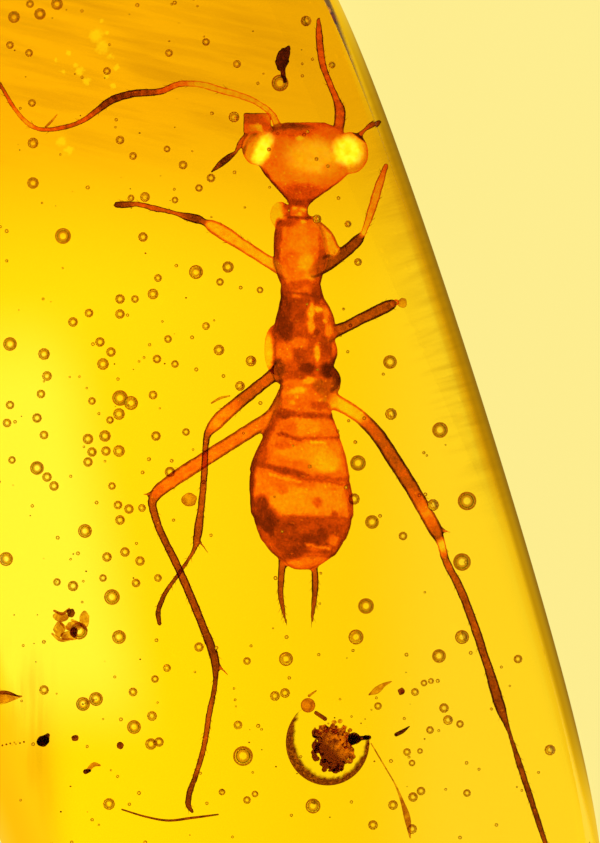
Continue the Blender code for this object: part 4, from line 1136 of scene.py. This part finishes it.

# %% [markdown]
# ## Cuticle
#
# The insect's skin is a thin orange-brown shell with nothing much inside, and the resin has soaked
# into it. So light passes straight through without bending: the refractive index is 1 against the
# amber around it, and the shell only colours the light. Where the shell curves away, light crosses
# more of it and the edge looks darker; that darker edge is painted shade here, set by how steeply
# the surface stands.

# %% Cuticle finish
place = cuticle.place_on_insect()
tone = cuticle.node("ShaderNodeAttribute", {"attribute_name": "tone"}, None, "Fac")
eye = cuticle.node("ShaderNodeAttribute", {"attribute_name": "eye"}, None, "Fac")
_, _, normal_z = cuticle.axes(cuticle.node("ShaderNodeTexCoord", None, None, "Normal"))
limb = cuticle.node("ShaderNodeAttribute", {"attribute_name": "limb"}, None, "Fac")
level = cuticle.absolute(normal_z)
painted_edge_shade = cuticle.fade(level, 0.55, 0.22) * (1 - limb) * 0.16 + cuticle.fade(level, 0.86, 0.54) * limb * 0.36
blotches = cuticle.noise(place, 10.0, 6.0, 0.68) - 0.5
grain = cuticle.noise(place, 42.0, 3.0, 0.6) - 0.5
# Small pale spots on the body are painted glints.
painted_glint_spots = cuticle.fade(cuticle.noise(place, 30.0, 1.0), 0.70, 0.76)
depth = tone + blotches * (limb * 0.2 + 0.52) + grain * 0.36 + painted_edge_shade - limb * 0.08 - painted_glint_spots * 0.4
skin_colour = cuticle.ramp(depth, [
    (0.00, (1.00, 0.95, 0.60)), (0.10, (1.00, 0.80, 0.30)), (0.25, (1.00, 0.50, 0.08)), (0.40, (0.99, 0.26, 0.02)),
    (0.50, (0.90, 0.150, 0.010)), (0.60, (0.62, 0.092, 0.007)), (0.70, (0.39, 0.056, 0.005)),
    (0.80, (0.21, 0.030, 0.004)), (0.95, (0.07, 0.012, 0.003)),
])
limb_colour = cuticle.ramp(depth, [
    (0.00, (1.00, 0.96, 0.60)), (0.10, (1.00, 0.84, 0.30)), (0.25, (1.00, 0.53, 0.07)), (0.40, (0.99, 0.25, 0.02)),
    (0.50, (0.88, 0.17, 0.013)), (0.60, (0.60, 0.145, 0.011)), (0.70, (0.40, 0.098, 0.009)),
    (0.80, (0.23, 0.055, 0.006)), (0.95, (0.07, 0.016, 0.003)),
])
facets = cuticle.noise(place, 16.0, 2.0, 0.5)
eye_glow = cuticle.ramp(facets, [(0.36, (1.0, 0.97, 0.60)), (0.52, (0.95, 0.80, 0.16)), (0.68, (0.85, 0.45, 0.02))])
cuticle_shader = cuticle.node("ShaderNodeBsdfPrincipled", None, {
    "Base Color": cuticle.mix(eye, cuticle.mix(limb, skin_colour, limb_colour), (1.0, 0.86, 0.35)),
    "Roughness": 0.0,
    "IOR": 1.0,
    "Transmission Weight": 0.94,
    # The eyes and the spot over the brow are painted light: pale, and glowing by themselves.
    "Emission Color": cuticle.mix(eye, (0.0, 0.0, 0.0), eye_glow),
    "Emission Strength": 0.6,
})
cuticle.surface(cuticle_shader)
print("cuticle ready")

# %% [markdown]
# ## Dirt
#
# Bits of bark, frass and fibre fell into the resin while it was sticky. They are dull and nearly
# opaque, brown in thin places and black in thick ones.

# %% Dirt finish
def dirt_finish(name, dark, light, clear, scale, pale_corner=None):
    """Grainy brown matter that lets some light straight through; its rims are painted darker, as painted shade."""
    material, finish = new_finish(name)
    place = finish.place_in_mm()
    patches = finish.fade(finish.noise(place, scale, 4.0, 0.65), 0.38, 0.62)
    if pale_corner:
        across, ahead, _ = finish.axes(finish.place_on_insect())
        patches = patches * finish.fade(across + ahead, *pale_corner)
    _, _, normal_z = finish.axes(finish.node("ShaderNodeTexCoord", None, None, "Normal"))
    colour = finish.mix(patches, dark, light)
    shader = finish.node("ShaderNodeBsdfPrincipled", None, {
        # Painted shade: the rims, where the surface stands steeply, are darker.
        "Base Color": finish.mix(finish.fade(finish.absolute(normal_z), 0.7, 0.2) * 0.8, colour, dark),
        "Roughness": 0.0,
        "IOR": 1.0,
        "Transmission Weight": clear,
    })
    finish.surface(shader)
    return material


dirt_material = dirt_finish("dirt", (0.10, 0.022, 0.004), (0.36, 0.09, 0.012), 0.95, 14.0)
soot_material = dirt_finish("soot", (0.030, 0.008, 0.003), (0.16, 0.034, 0.006), 0.92, 20.0)
resin_material = dirt_finish("old_resin", (0.42, 0.14, 0.02), (0.90, 0.55, 0.12), 0.95, 10.0)
clot_material = dirt_finish("clot", (0.18, 0.034, 0.003), (0.95, 0.34, 0.01), 0.95, 18.0, (-3.00, -2.86))
bead_material = dirt_finish("bead", (0.40, 0.11, 0.010), (0.95, 0.42, 0.03), 0.95, 9.0)
print("five kinds of dirt")

# %% [markdown]
# ## The larger bits
#
# The dark fragment, the clot and the hair-like fibre are CAD nodes. Each is rebuilt in its node's
# place with its own finer points. The clot is a little wider and flatter than its plain solid, to
# fit the flatter bubble.

# %% Fragment, clot and fibre
DARK_FRAGMENT = [(-0.13, 3.72, 0.02, 0.035), (-0.16, 3.67, 0.02, 0.062), (-0.18, 3.60, 0.01, 0.064),
                 (-0.175, 3.51, 0.0, 0.030), (-0.15, 3.40, 0.0, 0.020)]
HAIR_FIBRE = [(-1.78, -3.88, 0.0, 0.008), (-1.55, -3.95, 0.0, 0.010), (-1.32, -3.99, 0.0, 0.012),
              (-1.09, -3.965, 0.0, 0.013), (-0.82, -3.93, 0.0, 0.008)]
CLOT_MIDDLE, CLOT_HALF = (0.338, -3.277), (0.235, 0.26)
CLOT_CORE = (0.15, 0.18, 0.05)
CRUMB_COUNT = 300


def roughened(points, amount, scale):
    """Points pushed in and out along their own direction from the middle."""
    points = np.array(points, float)
    middle = points.mean(axis=0)
    pushes = np.array([noise.noise(Vector(point) * scale) for point in points])
    away = points - middle
    return points + away / np.maximum(np.linalg.norm(away, axis=1), 1e-6)[:, None] * (pushes * amount)[:, None]


def sealed_piece(name, shapes, material, stands_for=None):
    """A bit of something in the amber: placed, riding on the stone, and standing in for its CAD part, if it has one."""
    vertices, faces = joined(shapes)
    vertices = np.array(vertices) @ to_slab[:3, :3].T + to_slab[:3, 3]
    made = mesh_object(name, vertices, faces, material)
    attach(made, "root")
    if stands_for:
        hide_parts(stands_for)
    return made


fragment = limb_form(DARK_FRAGMENT, 0.012, 24)
sealed_piece("bark_fragment", [(roughened(fragment[0], 0.03, 22), fragment[1])], soot_material, "dark_fragment")
fibre = limb_form(HAIR_FIBRE, 0.02, 12)
sealed_piece("curved_fibre", [fibre[:2]], dirt_material, "hair_fibre")

# The clot is a heap of crumbs melted together on a flat core: straight on its left, round below,
# ragged on top.
crumbs = [ball_form((*CLOT_MIDDLE, 0.0), CLOT_CORE)]
while len(crumbs) < CRUMB_COUNT:
    u, v, w = (draw.uniform(-1, 1) for _ in range(3))
    radius = draw.uniform(0.014, 0.034)
    squareness = 6.0 if u < 0 and v > -0.3 else 2.0
    if (abs(u) ** squareness + abs(v) ** squareness) ** (1 / squareness) + abs(w) * 0.1 < 1.0:
        middle = (CLOT_MIDDLE[0] + u * (CLOT_HALF[0] - 0.02), CLOT_MIDDLE[1] + v * (CLOT_HALF[1] - 0.02), w * 0.08)
        crumbs.append(ball_form(middle, (radius, radius, radius * 0.8), 16))
clot_points, _, clot_quads = skin_over("clot_skin", crumbs, 0.010, 1)
clot_points = clot_points + [noise.noise_vector(Vector(point) * 40) * 0.005 for point in clot_points]
sealed_piece("frass_clot", [(clot_points, clot_quads)], clot_material, "debris_clot")
print("fragment, fibre and a clot of", len(clot_quads), "faces in place")

# %% [markdown]
# ## The small bits
#
# What is left is too small for the CAD model: hairs, specks, flakes and crumbs. They are tubes and
# rough grains, listed by where they show in the picture, with sizes in points of the picture. Bits
# of one kind share a mesh.

# %% Threads and grains
THREADS = {
    "dark_specks": [
        ([(41, 742, 4.0), (45, 739, 4.8), (48, 735, 2.2)], 0.1), ([(86, 771, 2.6), (90, 770, 1.6)], 0.2),
        ([(353, 739, 5.5), (359, 738, 2.8), (369, 737, 2.2)], 0.16), ([(396, 734, 2.0), (402, 731, 2.0), (409, 726, 0.6)], 0.2),
    ],
    "brown_bits": [
        ([(316, 712, 2.0), (325, 718, 2.1)], 0.30), ([(-8, 694, 2.2), (6, 692, 2.0), (20, 696, 0.6)], 0.2),
    ],
    "pale_flakes": [
        ([(-8, 699, 8.0), (6, 698, 5.0), (22, 696, 0.7)], 0.1), ([(309, 695, 1.4), (316, 690, 0.7)], 0.3),
        ([(212, 403, 0.9), (221, 398, 1.3), (230, 396, 0.7)], 0.4),
        ([(46, 127, 1.2), (52, 121, 1.1), (57, 115, 0.7)], 0.05), ([(88, 770, 2.0), (95, 764, 2.2), (100, 765, 1.0)], 0.1),
        ([(54, 611, 1.2), (62, 614, 1.6), (69, 609, 1.1)], -0.1), ([(52, 634, 1.1), (60, 640, 1.8), (72, 639, 1.1)], -0.1),
        ([(72, 620, 1.2), (80, 624, 1.6), (87, 630, 1.0)], 0.05), ([(60, 622, 1.1), (66, 628, 1.6), (72, 630, 1.1)], -0.05),
        ([(369, 694, 0.8), (376, 690, 3.4), (384, 684, 2.0), (391, 681, 0.7)], 0.25),
        ([(371, 743, 0.6), (384, 765, 0.7), (396, 786, 0.8), (402, 801, 1.8), (407, 817, 3.2), (410, 837, 0.8)], 0.15),
    ],
    "orange_beads": [],
}
GRAINS = {
    "dark_specks": [(43, 741, 6.5, 5.5, 0.1), (354, 738, 6.5, 6, 0.16), (366, 737, 3.0, 2.6, 0.16)],
    "brown_bits": [(75, 738, 3.6, 3.4, 0.0), (120, 746, 3.6, 3.6, -0.2), (71, 613, 4.2, 4.2, 0.0), (74, 632, 4.2, 5, 0.1),
                   (401, 691, 3.4, 4.0, 0.2), (82, 705, 5.6, 5.2, 0.0), (96, 700, 3.8, 5.0, 0.0),
                   *((k * 4, 748 - k, 1.0, 1.0, 0.0) for k in range(7))],
    "pale_flakes": [(61, 617, 8, 5, 0.0), (59, 630, 5.5, 8, -0.1), (69, 636, 9, 5, -0.1), (84, 620, 5, 9, -0.1),
                    (74, 626, 8, 5, 0.05), (189, 499, 8, 7, 0.35), (402, 303, 4.5, 5, 0.1), (334, 722, 2.6, 2.2, 0.1),
                    (340, 721, 2.4, 2.2, 0.1), (337, 728, 2.4, 2, 0.1), (345, 727, 2.4, 2, 0.1), (350, 730, 2.4, 2, 0.1)],
    "orange_beads": [],
}
SMALL_FINISHES = {"dark_specks": soot_material, "brown_bits": dirt_material, "pale_flakes": resin_material,
                  "orange_beads": bead_material}
ORANGE_BEADS = [(308, 704.5, 7.3, 0.30), (402, 691, 2.0, 0.5)]
DUST_COUNT = 220


def thread_form(points, height):
    line = [(*on_insect(px, py, height), radius / POINTS_PER_MM) for px, py, radius in points]
    return limb_form(line, 0.010, 10)[:2]


def grain_form(px, py, half_x, half_y, height, count=16):
    small = min(half_x, half_y) / POINTS_PER_MM
    half_sizes = (half_x / POINTS_PER_MM, half_y / POINTS_PER_MM, small * 0.7)
    vertices, faces = ball_form(on_insect(px, py, height), half_sizes, count)
    return roughened(vertices, small * 0.28, 1.1 / small), faces


for name, finish_used in SMALL_FINISHES.items():
    shapes = [thread_form(*thread) for thread in THREADS[name]] + [grain_form(*one) for one in GRAINS[name]]
    if name == "orange_beads":
        for px, py, radius, height in ORANGE_BEADS:
            size = radius / POINTS_PER_MM
            shapes.append(ball_form(on_insect(px, py, height), (size, size, size), 24))
    if name == "brown_bits":
        for _ in range(DUST_COUNT):
            px, py, size = draw.uniform(5, 560), draw.uniform(5, 838), draw.uniform(0.5, 1.1)
            if inside_frame(px, py) and not near_insect(px, py):
                shapes.append(grain_form(px, py, size, size * 0.8, draw.uniform(-0.9, 0.9), 6))
    sealed_piece(name, shapes, finish_used)
    print(name, len(shapes))
